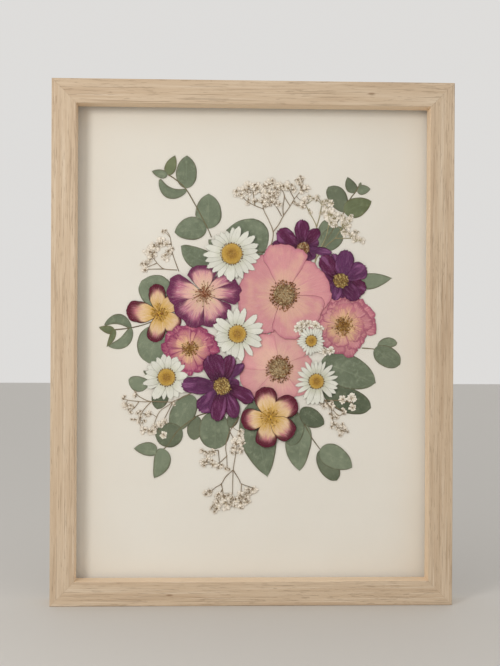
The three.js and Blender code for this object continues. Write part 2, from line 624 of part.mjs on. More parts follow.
/** A sawtooth hanger: a thin strip with teeth cut along its lower edge. */
function hanger() {
  const { width, height, thickness, teeth, toothDepth, below } = HANGER;
  const top = FRAME.height / 2 - below;
  const bottom = top - height;
  const pitch = width / (teeth + 1);
  const outline = [
    [width / 2, top], [-width / 2, top], [-width / 2, bottom], [-width / 2 + pitch / 2, bottom],
  ];
  for (let i = 0; i < teeth; i += 1) {
    const x = -width / 2 + pitch * (i + 0.5);
    outline.push([x + pitch / 2, bottom + toothDepth], [x + pitch, bottom]);
  }
  outline.push([width / 2, bottom]);
  return mesh('sawtooth_hanger', plate(outline, FRONT_Y + FRAME.depth + thickness, thickness), 'steel');
}

// ---- The specimens ------------------------------------------------------------------------

function flower(name, { at, layer, finish, centre, disc, shape, petals }) {
  const petalOutline = shape.fan ? fanPetal : strapPetal;
  const [radius, height] = disc;
  const outlines = petals.map((petal) => petalOutline(at, petal, shape));
  const corolla = joinedPlate([...outlines, roundOutline([...at, radius], HUB_SIDES)], layer);
  const room = layerFront(layer) - (PAPER_FRONT_Y - STACK.flowerSpace);
  const domeHeight = Math.min(height, room - LAYER.glassPlay);
  const middle = dome(at, layerFront(layer) - LAYER.glassPlay / 2, radius, domeHeight);
  const middleName = centre === 'disc' ? `${name}_disc` : `${name}_stamens`;
  return [mesh(`${name}_petals`, corolla, finish), mesh(middleName, middle, centre)];
}

function sprig(name, { layer, leaves, stems }) {
  const blades = leaves.map(([baseX, baseZ, tipX, tipZ, left, right, bow]) => (
    bladeOutline([baseX, baseZ], [tipX, tipZ], left, right, bow, LEAF)));
  const strips = stems.flatMap((run) => stemStrips(run, STEM_WIDTH));
  return mesh(name, joinedPlate([...blades, ...strips], layer), 'leaf');
}

function spray(name, { layer, stems, florets }) {
  const strips = stems.flatMap((run) => stemStrips(run, SPRAY_STEM_WIDTH));
  const stalks = florets.flatMap((floret) => stalk(floret, stems));
  const heads = florets.map((floret) => roundOutline(floret, FLORET_SIDES));
  return mesh(name, joinedPlate([...strips, ...stalks, ...heads], layer), 'spray');
}

const model = new THREE.Group();
model.add(
  ...rails(),
  ...sheets(),
  ...tabs(),
  hanger(),
  ...Object.entries(FLOWERS).flatMap(([name, spec]) => flower(name, spec)),
  ...Object.entries(EUCALYPTUS).map(([name, spec]) => sprig(name, spec)),
  ...Object.entries(SPRAYS).map(([name, spec]) => spray(name, spec)),
);

export default model;
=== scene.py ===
"""Dresses a pressed flower frame: pale wood rails, glass, paper and board, and modelled petals,
leaves, stems, stamens and florets that stand for the plain plates of the frame's solids.

Metres, +Z up, front towards -Y. Specimens are laid out in millimetres as (x, z) from the
middle of the sight opening, seen from the front. Angles are in degrees from +x towards +z.
"""

import logging
import math
from dataclasses import dataclass, field
from enum import Enum
from typing import Callable, Sequence

import bpy
import numpy as np
from mathutils import Matrix, Vector


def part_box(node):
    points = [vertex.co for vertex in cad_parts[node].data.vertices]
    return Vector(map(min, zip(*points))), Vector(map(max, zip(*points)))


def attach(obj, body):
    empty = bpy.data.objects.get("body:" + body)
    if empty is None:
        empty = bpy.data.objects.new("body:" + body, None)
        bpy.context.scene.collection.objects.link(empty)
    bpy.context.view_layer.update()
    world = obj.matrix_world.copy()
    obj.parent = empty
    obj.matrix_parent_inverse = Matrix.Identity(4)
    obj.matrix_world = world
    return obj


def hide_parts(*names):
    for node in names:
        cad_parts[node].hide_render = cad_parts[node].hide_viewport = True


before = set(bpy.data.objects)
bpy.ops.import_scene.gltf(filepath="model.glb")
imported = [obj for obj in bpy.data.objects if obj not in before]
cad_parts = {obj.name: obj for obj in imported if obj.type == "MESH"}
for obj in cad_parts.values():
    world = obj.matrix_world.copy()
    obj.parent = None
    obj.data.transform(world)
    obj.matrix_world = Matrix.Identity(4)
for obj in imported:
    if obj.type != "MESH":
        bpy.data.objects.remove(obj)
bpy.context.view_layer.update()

LOG = logging.getLogger("flower_frame")
MM = 0.001
TURN = 2.0 * math.pi
GOLDEN_ANGLE = math.radians(137.508)
TINY = 1e-12
RELIEF_KEPT = 0.6
STEM_TAPER = 0.3
SWELL_HEIGHT = 0.045
SWELL_WAVES = ((0.31, 0.17, 0.0), (-0.12, 0.43, 1.9), (0.74, -0.38, 4.1), (0.52, 0.81, 0.7))

Colour = tuple[int, int, int]
Place = tuple[float, float]
Petal = tuple[float, float, float]
Spot = tuple[float, float, float]
Grid = np.ndarray
Patch = tuple[Grid, Grid, Grid, Grid, Grid]
Finishes = dict[str, bpy.types.Material]


def linear(colour: Colour) -> tuple[float, float, float, float]:
    """Turns a display colour of 0 to 255 into linear light, by the display's own curve.

    Args:
        colour: Red, green and blue as shown on a screen.

    Returns:
        Linear red, green, blue, and an alpha of 1.
    """
    share = np.asarray(colour) / 255.0
    light = np.where(share <= 0.04045, share / 12.92, ((share + 0.055) / 1.055) ** 2.4)
    return (*light.tolist(), 1.0)


def link(thing: bpy.types.Object) -> None:
    """Puts an object into the scene.

    Args:
        thing: The object.
    """
    bpy.context.scene.collection.objects.link(thing)


# ---- Surfaces ------------------------------------------------------------------------------


def round_turn(count: int) -> Grid:
    """Angles at even steps round a full turn.

    Args:
        count: Number of angles.

    Returns:
        The angles in radians, from 0.
    """
    return np.arange(count) * TURN / count


def wobble(at: Grid, rng: np.random.Generator, waves: Sequence[float], size: float) -> Grid:
    """A smooth random line: a sum of sines with random phases, weaker as they get shorter.

    Args:
        at: Places to read it at, usually 0 to 1.
        rng: Source of the phases.
        waves: Number of waves of each sine over one unit.
        size: Rough height of the sum.

    Returns:
        The line's height at each place.
    """
    phases = rng.uniform(0.0, TURN, len(waves))
    terms = [np.sin(TURN * w * at + p) / (1 + i) for i, (w, p) in enumerate(zip(waves, phases))]
    return size * sum(terms) / len(waves)


def smooth_path(points: Sequence[Place], per_step: int = 6) -> Grid:
    """A Catmull-Rom curve through points: each stretch is a cubic that passes through its two
    ends with the slope of its neighbours.

    Args:
        points: Places that the curve goes through.
        per_step: Number of pieces in each stretch.

    Returns:
        The curve as an array of places.
    """
    p = np.asarray(points, float)
    p = np.vstack([2 * p[0] - p[1], p, 2 * p[-1] - p[-2]])
    t = np.linspace(0.0, 1.0, per_step, endpoint=False)[None, :, None]
    a, b, c, d = (p[i : len(p) - 3 + i, None, :] for i in range(4))
    curve = 0.5 * (2 * b + (c - a) * t + (2 * a - 5 * b + 4 * c - d) * t**2 + (3 * b - a - 3 * c + d) * t**3)
    return np.vstack([curve.reshape(-1, p.shape[1]), p[-2]])


def ball_template(sides: int = 6, rings: int = 3) -> tuple[Grid, list[Grid]]:
    """A unit ball with its poles along y: rings at even angles between two pole points.

    Args:
        sides: Points in each ring.
        rings: Rings between the poles.

    Returns:
        Its points, and its faces as index arrays of one size each.
    """
    turn = round_turn(sides)
    tilt = (np.arange(1, rings + 1) * math.pi / (rings + 1))[:, None]
    ring = np.stack([np.sin(tilt) * np.cos(turn), -np.cos(tilt) + 0 * turn, np.sin(tilt) * np.sin(turn)], -1)
    points = np.vstack([[[0.0, -1.0, 0.0]], ring.reshape(-1, 3), [[0.0, 1.0, 0.0]]])
    k = np.arange(sides)
    nxt = np.roll(k, -1)
    last = 1 + (rings - 1) * sides
    front = np.stack([np.zeros_like(k), 1 + k, 1 + nxt], -1)
    back = np.stack([np.full_like(k, len(points) - 1), last + nxt, last + k], -1)
    belts = [np.stack([1 + r * sides + k, 1 + (r + 1) * sides + k, 1 + (r + 1) * sides + nxt,
                       1 + r * sides + nxt], -1) for r in range(rings - 1)]
    return points, [front, back, np.vstack(belts)]


@dataclass
class Patchwork:
    """Surfaces gathered for one piece, with what its finishes read.

    Every point carries a place across and along its own sheet, its distance from the sheet's
    outline in millimetres, and a tone from 0 to 1 that differs from sheet to sheet.
    """

    points: list[Grid] = field(default_factory=list)
    faces: list[tuple[Grid, int]] = field(default_factory=list)
    uv: list[Grid] = field(default_factory=list)
    rim: list[Grid] = field(default_factory=list)
    tone: list[Grid] = field(default_factory=list)
    count: int = 0

    def add(self, points: Grid, faces: Sequence[Grid], uv: Grid, rim: Grid, tone: Grid, slot: int) -> None:
        """Adds one surface.

        Args:
            points: Places, (n, 3), in metres.
            faces: Index arrays of one size each, counted from this surface's first point.
            uv: Place across and along, (n, 2).
            rim: Distance from the outline in millimetres, (n,).
            tone: Tone of each point, (n,).
            slot: Which of the piece's finishes it takes.
        """
        self.points.append(points)
        self.faces.extend((part + self.count, slot) for part in faces)
        self.uv.append(uv)
        self.rim.append(rim)
        self.tone.append(tone)
        self.count += len(points)

    def sheet(self, front: Grid, uv: Grid, rim: Grid, tone: float, thickness: float, slot: int = 0) -> None:
        """A closed thin sheet. Its back is the front grid moved straight back by the
        thickness, and a belt of faces joins the two along their outlines.

        Args:
            front: Places of the front, (rows, columns, 3), in metres.
            uv: Place across and along, (rows, columns, 2).
            rim: Distance from the outline in millimetres, (rows, columns).
            tone: Tone of the whole sheet.
            thickness: In metres.
            slot: Which of the piece's finishes it takes.
        """
        rows, columns = front.shape[:2]
        index = np.arange(rows * columns).reshape(rows, columns)
        total = rows * columns
        quads = np.stack([index[:-1, :-1], index[:-1, 1:], index[1:, 1:], index[1:, :-1]], -1).reshape(-1, 4)
        edge = np.concatenate([index[0], index[1:, -1], index[-1, -2::-1], index[-2:0:-1, 0]])
        after = np.roll(edge, -1)
        belt = np.stack([after, edge, edge + total, after + total], -1)
        flat = front.reshape(-1, 3)
        a, b, d = (flat[quads[:, i]] for i in (0, 1, 3))
        faces = [quads, quads[:, ::-1] + total, belt]
        if np.cross(b - a, d - a)[:, 1].sum() > 0:
            faces = [part[:, ::-1] for part in faces]
        self.add(
            np.vstack([flat, flat + (0.0, thickness, 0.0)]), faces, np.tile(uv.reshape(-1, 2), (2, 1)),
            np.tile(rim.reshape(-1), 2), np.full(2 * total, tone), slot,
        )

    def dish(self, rings: Grid, middle: Grid, thickness: float, tone: float, slot: int = 0) -> None:
        """A closed round sheet: a fan about its middle and belts out to its last ring, with
        copies moved straight back by the thickness and joined to them round that ring.

        Args:
            rings: Rings of places from the inside out, (rings, turns, 3), in metres, each
                running from +x towards +z.
            middle: Place of the middle, (3,), in metres.
            thickness: In metres.
            tone: Tone of the whole dish.
            slot: Which of the piece's finishes it takes.
        """
        count, turns = rings.shape[:2]
        front = np.vstack([middle, rings.reshape(-1, 3)])
        total = len(front)
        index = 1 + np.arange(count * turns).reshape(count, turns)
        nxt = np.roll(index, -1, axis=1)
        fan = np.stack([np.zeros(turns, int), index[0], nxt[0]], -1)
        quads = np.stack([index[:-1], index[1:], nxt[1:], nxt[:-1]], -1).reshape(-1, 4)
        belt = np.stack([index[-1], index[-1] + total, nxt[-1] + total, nxt[-1]], -1)
        faces = [fan, quads, fan[:, ::-1] + total, quads[:, ::-1] + total, belt]
        share = np.stack(np.meshgrid(np.arange(turns) / turns, np.arange(1, count + 1) / count), -1)
        uv = np.tile(np.vstack([[0.0, 0.0], share.reshape(-1, 2)]), (2, 1))
        places = np.vstack([front, front + (0.0, thickness, 0.0)])
        self.add(places, faces, uv, np.ones(2 * total), np.full(2 * total, tone), slot)

    def tubes(self, paths: Grid, radii: Grid, tones: Grid, sides: int, flat: float = 1.0,
              slot: int = 0) -> None:
        """Closed tubes: a ring round each point of each path, square to it, with a flat end.

        Args:
            paths: Places along each tube, (tubes, places, 3), in metres.
            radii: Radius at each place, (tubes, places), in metres.
            tones: Tone of each tube, (tubes,).
            sides: Points in each ring.
            flat: Share of the radius that is left from front to back.
            slot: Which of the piece's finishes they take.
        """
        tubes, places = paths.shape[:2]
        ahead = np.gradient(paths, axis=1)
        ahead /= np.linalg.norm(ahead, axis=2, keepdims=True) + TINY
        across = np.cross((0.0, 1.0, 0.0), ahead)
        across /= np.linalg.norm(across, axis=2, keepdims=True) + TINY
        up = np.cross(ahead, across)
        turn = round_turn(sides)
        spoke = across[:, :, None] * np.cos(turn)[:, None] + up[:, :, None] * (flat * np.sin(turn))[:, None]
        ring = paths[:, :, None] + radii[:, :, None, None] * spoke
        index = np.arange(tubes * places * sides).reshape(tubes, places, sides)
        nxt = np.roll(index, -1, axis=2)
        walls = np.stack([index[:, :-1], nxt[:, :-1], nxt[:, 1:], index[:, 1:]], -1).reshape(-1, 4)
        uv = np.zeros((tubes, places, sides, 2))
        uv[..., 0] = np.arange(sides) / sides
        uv[..., 1] = np.linspace(0, 1, places)[None, :, None]
        count = tubes * places * sides
        self.add(
            ring.reshape(-1, 3), [walls, index[:, 0, ::-1], index[:, -1]], uv.reshape(-1, 2), np.ones(count),
            np.repeat(tones, places * sides), slot,
        )

    def beads(self, centres: Grid, radii: Grid, tones: Grid, slot: int = 0) -> None:
        """Small rounded grains, one copy of a ball at each centre.

        Args:
            centres: Places, (n, 3), in metres.
            radii: Radius of each along x, y and z, (n, 3), in metres.
            tones: Tone of each, (n,).
            slot: Which of the piece's finishes they take.
        """
        ball, faces = ball_template()
        points = centres[:, None] + radii[:, None] * ball
        step = (np.arange(len(centres)) * len(ball))[:, None, None]
        copies = [(part[None] + step).reshape(-1, part.shape[1]) for part in faces]
        uv = np.tile(ball[:, ::2] * 0.5 + 0.5, (len(centres), 1))
        count = len(centres) * len(ball)
        self.add(points.reshape(-1, 3), copies, uv, np.ones(count), np.repeat(tones, len(ball)), slot)

    def grains(self, centres: Grid, turns: Grid, sizes: Grid, tones: Grid, slot: int = 0) -> None:
        """Long rounded grains lying at any turn: short tubes whose radius is the half width
        times the square root of one less the place along, squared.

        Args:
            centres: Places, (n, 3), in metres.
            turns: Direction of each in the x-z plane, in radians, (n,).
            sizes: Half length, half width and half depth of each, (n, 3), in metres.
            tones: Tone of each, (n,).
            slot: Which of the piece's finishes they take.
        """
        steps = np.array([-0.97, -0.6, 0.6, 0.97])
        ahead = np.stack([np.cos(turns), 0 * turns, np.sin(turns)], -1)
        paths = centres[:, None] + ahead[:, None] * (sizes[:, :1] * steps)[..., None]
        flat = float((sizes[:, 2] / sizes[:, 1]).mean())
        self.tubes(paths, sizes[:, 1:2] * np.sqrt(1 - steps**2), tones, 6, flat, slot)

    def build(self, name: str, finishes: Sequence[bpy.types.Material]) -> bpy.types.Object:
        """Puts the gathered surfaces into one mesh object at the origin.

        Args:
            name: Name of the object.
            finishes: Materials, in the order of the slots.

        Returns:
            The object, linked to the scene.
        """
        sizes = np.concatenate([np.full(len(part), part.shape[1]) for part, _ in self.faces])
        corners = np.concatenate([part.reshape(-1) for part, _ in self.faces]).astype(np.int32)
        slots = np.concatenate([np.full(len(part), slot) for part, slot in self.faces]).astype(np.int32)
        mesh = bpy.data.meshes.new(name)
        mesh.vertices.add(self.count)
        mesh.vertices.foreach_set("co", np.vstack(self.points).astype(np.float32).ravel())
        mesh.loops.add(len(corners))
        mesh.loops.foreach_set("vertex_index", corners)
        mesh.polygons.add(len(sizes))
        mesh.polygons.foreach_set("loop_start", np.concatenate([[0], np.cumsum(sizes)[:-1]]).astype(np.int32))
        mesh.polygons.foreach_set("material_index", slots)
        mesh.update(calc_edges=True)
        mesh.polygons.foreach_set("use_smooth", np.ones(len(sizes), bool))
        layer = mesh.uv_layers.new(name="surface")
        layer.data.foreach_set("uv", np.vstack(self.uv)[corners].astype(np.float32).ravel())
        for title, values in (("rim", self.rim), ("tone", self.tone)):
            attribute = mesh.attributes.new(title, "FLOAT", "POINT")
            attribute.data.foreach_set("value", np.concatenate(values).astype(np.float32))
        mesh.validate()
        piece = bpy.data.objects.new(name, mesh)
        link(piece)
        for finish in finishes:
            mesh.materials.append(finish)
        return piece


# ---- Finishes ------------------------------------------------------------------------------


class Graph:
    """One material's node graph, built from the shader backwards."""

    def __init__(self, name: str) -> None:
        """Starts a material with a plain shader and no pattern.

        Args:
            name: Name of the material.
        """
        self.material = bpy.data.materials.new(name)
        self.material.use_nodes = True
        self.tree = self.material.node_tree
        self.shader = self.tree.nodes["Principled BSDF"]

    def put(self, socket: bpy.types.NodeSocket, value: object) -> None:
        """Links an input to a socket, or sets it to a number or colour.

        Args:
            socket: The input.
            value: The socket, number or colour that it takes.
        """
        if isinstance(value, bpy.types.NodeSocket):
            self.tree.links.new(value, socket)
        else:
            socket.default_value = value

    def node(self, kind: str, inputs: dict, output: int | str = 0,
             **settings: object) -> bpy.types.NodeSocket:
        """Adds a node.

        Args:
            kind: Its type, without the leading ShaderNode.
            inputs: Input name or number to a socket or a value.
            output: Which output to hand back.
            settings: The node's own properties.

        Returns:
            The output socket.
        """
        made = self.tree.nodes.new("ShaderNode" + kind)
        for key, value in settings.items():
            setattr(made, key, value)
        for key, value in inputs.items():
            self.put(made.inputs[key], value)
        return made.outputs[output]

    def math(self, operation: str, a: object, b: object = 0.0) -> bpy.types.NodeSocket:
        """Adds an operation on one or two numbers."""
        return self.node("Math", {0: a, 1: b}, operation=operation)

    def total(self, a: object, b: object) -> bpy.types.NodeSocket:
        """Adds two numbers up."""
        return self.math("ADD", a, b)

    def less(self, a: object, b: object) -> bpy.types.NodeSocket:
        """Takes the second number from the first."""
        return self.math("SUBTRACT", a, b)

    def product(self, a: object, b: object) -> bpy.types.NodeSocket:
        """Multiplies two numbers."""
        return self.math("MULTIPLY", a, b)

    def mix(self, share: object, a: object, b: object, blend: str = "MIX") -> bpy.types.NodeSocket:
        """Mixes two colours by a share from 0 to 1."""
        return self.node("Mix", {0: share, 6: a, 7: b}, 2, data_type="RGBA", blend_type=blend)

    def shade(self, colour: object, light: object) -> bpy.types.NodeSocket:
        """Multiplies a colour by a brightness."""
        return self.mix(1.0, colour, self.vector(light, light, light), "MULTIPLY")

    def stretch(self, value: object, low: float, high: float, to_low: object = 0.0,
                to_high: object = 1.0) -> bpy.types.NodeSocket:
        """Carries low to high over to to_low to to_high, smoothly, and holds it there."""
        inputs = {"Value": value, "From Min": low, "From Max": high, "To Min": to_low, "To Max": to_high}
        return self.node("MapRange", inputs, interpolation_type="SMOOTHSTEP")

    def noise(self, vector: object, scale: float, detail: float = 4.0,
              rough: float = 0.55) -> bpy.types.NodeSocket:
        """Adds a cloudy random pattern from 0 to 1."""
        return self.node("TexNoise", {"Vector": vector, "Scale": scale, "Detail": detail, "Roughness": rough})

    def ramp(self, value: object, stops: Sequence[tuple[float, Colour]]) -> bpy.types.NodeSocket:
        """Adds a colour ramp.

        Args:
            value: Place on the ramp, from 0 to 1.
            stops: Places and display colours, in order.

        Returns:
            The colour.
        """
        made = self.tree.nodes.new("ShaderNodeValToRGB")
        elements = made.color_ramp.elements
        for place, _ in stops[2:]:
            elements.new(place)
        for element, (place, colour) in zip(elements, stops):
            element.position = place
            element.color = linear(colour)
        self.put(made.inputs[0], value)
        return made.outputs[0]

    def attribute(self, name: str) -> bpy.types.NodeSocket:
        """Reads a number stored on the piece's points."""
        return self.node("Attribute", {}, "Fac", attribute_name=name)

    def surface(self) -> tuple[bpy.types.NodeSocket, bpy.types.NodeSocket]:
        """Reads the place across and along a sheet.

        Returns:
            The two places, each from 0 to 1.
        """
        uv = self.node("UVMap", {}, uv_map="surface")
        split = self.tree.nodes.new("ShaderNodeSeparateXYZ")
        self.put(split.inputs[0], uv)
        return split.outputs[0], split.outputs[1]

    def place(self) -> bpy.types.NodeSocket:
        """Reads the place on the object, in metres."""
        return self.node("TexCoord", {}, "Object")

    def vector(self, x: object, y: object, z: object) -> bpy.types.NodeSocket:
        """Joins three numbers into a vector."""
        return self.node("CombineXYZ", {0: x, 1: y, 2: z})

    def times(self, vector: object, scale: tuple[float, float, float]) -> bpy.types.NodeSocket:
        """Scales a vector differently along each axis."""
        return self.node("Mapping", {"Vector": vector, "Scale": scale})

    def done(self, colour: object, roughness: object, height: object = None, depth: float = 0.0,
             specular: float = 0.3, metallic: float = 0.0) -> bpy.types.Material:
        """Joins the pattern to the shader.

        Args:
            colour: Base colour.
            roughness: Constant or pattern.
            height: Pattern of the relief, or None.
            depth: Depth of the relief in metres.
            specular: Specular level.
            metallic: 1 for bare metal.

        Returns:
            The finished material.
        """
        self.put(self.shader.inputs["Base Color"], colour)
        self.put(self.shader.inputs["Roughness"], roughness)
        self.shader.inputs["Specular IOR Level"].default_value = specular
        self.shader.inputs["Metallic"].default_value = metallic
        if height is not None:
            bump = self.node("Bump", {"Height": height, "Distance": depth, "Strength": 1.0})
            self.put(self.shader.inputs["Normal"], bump)
        return self.material


@dataclass(frozen=True)
class PetalFinish:
    """A pressed petal: a colour that runs from heart to tip in feathered streaks, a darker or
    lighter rim, fine folds along the petal, a painted highlight on the crests of the folds, and
    a thin dark line along the outline that is painted contact shade, partly the petal's own edge."""

    name: str
    heart: Colour
    body: Colour
    tip: Colour
    rim: Colour
    streak: Colour
    # Colour of the outline: painted contact shade where the petal lies on others and on the paper, partly its
    # own darker edge; the specks take it too.
    line: Colour
    heart_end: float = 0.3
    tip_start: float = 0.8
    feather: float = 0.25
    rim_width: float = 1.2
    rim_feather: float = 0.3
    rim_share: float = 0.8
    rim_from: float = 0.2
    rim_to: float = 0.9
    outline_shade_width: float = 0.3
    outline_shade_share: float = 0.7
    speck_share: float = 0.0
    streaks: float = 9.0
    streak_share: float = 0.5
    fold_depth: float = 0.12 * MM
    roughness: float = 0.62
    tone_range: float = 0.1
    rim_base: float = 0.15
    other: Colour | None = None
    # Colour of the painted highlight on the crests of the folds.
    ridge_highlight: Colour | None = None
    wash: float = 0.0
    seed_step: float = 41.0
    blotch_scale: float = 160.0
    speck_scale: float = 1100.0
    wash_scale: float = 52.0
    specular: float = 0.06

    def build(self) -> bpy.types.Material:
        """Builds the material.

        Returns:
            The finished material.
        """
        g = Graph(self.name)
        across, along = g.surface()
        tone, rim = g.attribute("tone"), g.attribute("rim")
        seed = g.product(tone, self.seed_step)
        wide = g.vector(g.product(across, self.streaks), g.product(along, 1.6), seed)
        fine = g.vector(g.product(across, 4.0 * self.streaks), g.product(along, 5.0), seed)
        streak = g.noise(wide, 1.0, 3.0)
        fibre = g.noise(fine, 1.0, 4.0, 0.65)
        blotch = g.noise(g.place(), self.blotch_scale, 3.0)
        speck = g.noise(g.place(), self.speck_scale, 2.0, 0.6)
        uneven = g.less(g.total(streak, fibre), 1.0)
        drift = g.product(uneven, self.feather)
        reach = g.total(along, drift)
        stops = [
            (0.0, self.heart), (self.heart_end * 0.6, self.heart), (self.heart_end * 1.4, self.body),
            (self.tip_start, self.body), (min(self.tip_start + 0.2, 1.0), self.tip),
        ]
        colour = g.ramp(reach, stops)
        if self.other:
            colour = g.mix(g.stretch(tone, 0.25, 0.85, 0.0, 0.8), colour, linear(self.other))
        # Painted highlight: the crests of the broad streaks, away from the heart, are painted in the lighter
        # ridge colour, as where light catches the folds.
        if self.ridge_highlight:
            crest_highlight = g.product(g.stretch(streak, 0.5, 0.66, 0.0, 0.75), g.stretch(along, 0.15, 0.5))
            colour = g.mix(crest_highlight, colour, linear(self.ridge_highlight))
        if self.wash:
            cloud = g.less(g.noise(g.place(), self.wash_scale, 3.0, 0.6), g.product(along, 0.16))
            colour = g.mix(g.stretch(cloud, 0.36, 0.58, 0.0, self.wash), colour, linear(self.heart))
        lines = g.stretch(fibre, 0.5, 0.72, 0.0, self.streak_share)
        colour = g.mix(lines, colour, linear(self.streak))
        narrow = self.rim_base * self.rim_width
        width = g.stretch(along, self.rim_from, self.rim_to, narrow, self.rim_width)
        loose = g.math("DIVIDE", g.total(rim, 0.02), width)
        sway = g.product(uneven, 4.0 * self.rim_feather)
        edge = g.stretch(g.total(loose, sway), 0.25, 1.25, self.rim_share, 0.0)
        colour = g.mix(edge, colour, linear(self.rim))
        # Painted contact shade: a thin dark line in the line colour along the outline, partly the petal's own
        # darker edge.
        near = g.total(rim, g.product(speck, 0.2))
        thin = g.stretch(near, 0.1, 0.1 + self.outline_shade_width, self.outline_shade_share, 0.0)
        colour = g.mix(thin, colour, linear(self.line))
        if self.speck_share:
            colour = g.mix(g.stretch(speck, 0.62, 0.72, 0.0, self.speck_share), colour, linear(self.line))
        light = g.total(g.product(g.total(tone, blotch), self.tone_range), 1.0 - self.tone_range)
        colour = g.shade(colour, light)
        height = g.total(streak, g.product(fibre, 0.6))
        return g.done(colour, self.roughness, height, self.fold_depth, self.specular)


@dataclass(frozen=True)
class LeafFinish:
    """A pressed eucalyptus leaf: matt grey-green with a waxy bloom, a pale midrib and faint
    side veins, and a browner margin."""

    name: str
    body: Colour
    deep: Colour
    vein: Colour
    margin: Colour
    margin_width: float = 1.1
    vein_share: float = 0.32
    vein_waves: float = 58.0
    vein_slant: float = 46.0
    cloud_scale: float = 70.0
    grain_scale: float = 900.0
    bloom_scale: float = 320.0
    relief: float = 0.08 * MM
    specular: float = 0.22
    roughness: float = 0.72

    def build(self) -> bpy.types.Material:
        """Builds the material.

        Returns:
            The finished material.
        """
        g = Graph(self.name)
        across, along = g.surface()
        tone, rim = g.attribute("tone"), g.attribute("rim")
        place = g.place()
        cloud = g.noise(place, self.cloud_scale, 4.0)
        grain = g.noise(place, self.grain_scale, 3.0, 0.7)
        share = g.stretch(g.total(cloud, g.product(tone, 0.35)), 0.4, 0.95)
        colour = g.mix(share, linear(self.body), linear(self.deep))
        off = g.math("ABSOLUTE", g.less(across, 0.5))
        midrib = g.stretch(off, 0.006, 0.03, 1.0, 0.0)
        wave = g.less(g.product(along, self.vein_waves), g.product(off, self.vein_slant))
        wave = g.total(wave, g.product(cloud, 9.0))
        side = g.stretch(g.math("SINE", wave), 0.86, 1.0, 0.0, 0.45)
        veins = g.product(g.math("MAXIMUM", midrib, side), self.vein_share)
        colour = g.mix(veins, colour, linear(self.vein))
        loose = g.less(rim, g.product(cloud, 0.9))
        colour = g.mix(g.stretch(loose, -0.3, self.margin_width, 0.65, 0.0), colour, linear(self.margin))
        bloom = g.noise(place, self.bloom_scale, 3.0, 0.6)
        colour = g.mix(g.stretch(bloom, 0.5, 0.75, 0.0, 0.5), colour, linear(self.vein))
        light = g.total(g.product(g.total(grain, bloom), 0.2), 0.82)
        colour = g.shade(colour, light)
        height = g.total(g.product(veins, -0.8), g.product(grain, 0.5))
        return g.done(colour, self.roughness, height, self.relief, self.specular)


@dataclass(frozen=True)
class GrainFinish:
    """Pollen, styles, stems and other small parts: colours by tone, with a fine mottle."""

    name: str
    stops: tuple[tuple[float, Colour], ...]
    mottle: float = 0.3
    scale: float = 1500.0
    drift: float = 0.25
    relief: float = 0.1 * MM
    specular: float = 0.2
    roughness: float = 0.75

    def build(self) -> bpy.types.Material:
        """Builds the material.

        Returns:
            The finished material.
        """
        g = Graph(self.name)
        speck = g.noise(g.place(), self.scale, 3.0, 0.6)
        drift = g.product(g.less(speck, 0.5), self.drift)
        colour = g.ramp(g.total(g.attribute("tone"), drift), self.stops)
        light = g.total(g.product(speck, 2.0 * self.mottle), 1.0 - self.mottle)
        colour = g.shade(colour, light)
        return g.done(colour, self.roughness, speck, self.relief, self.specular)


class Lie(Enum):
    """Which way a rail's grain runs."""

    LEVEL = "level"
    UPRIGHT = "upright"


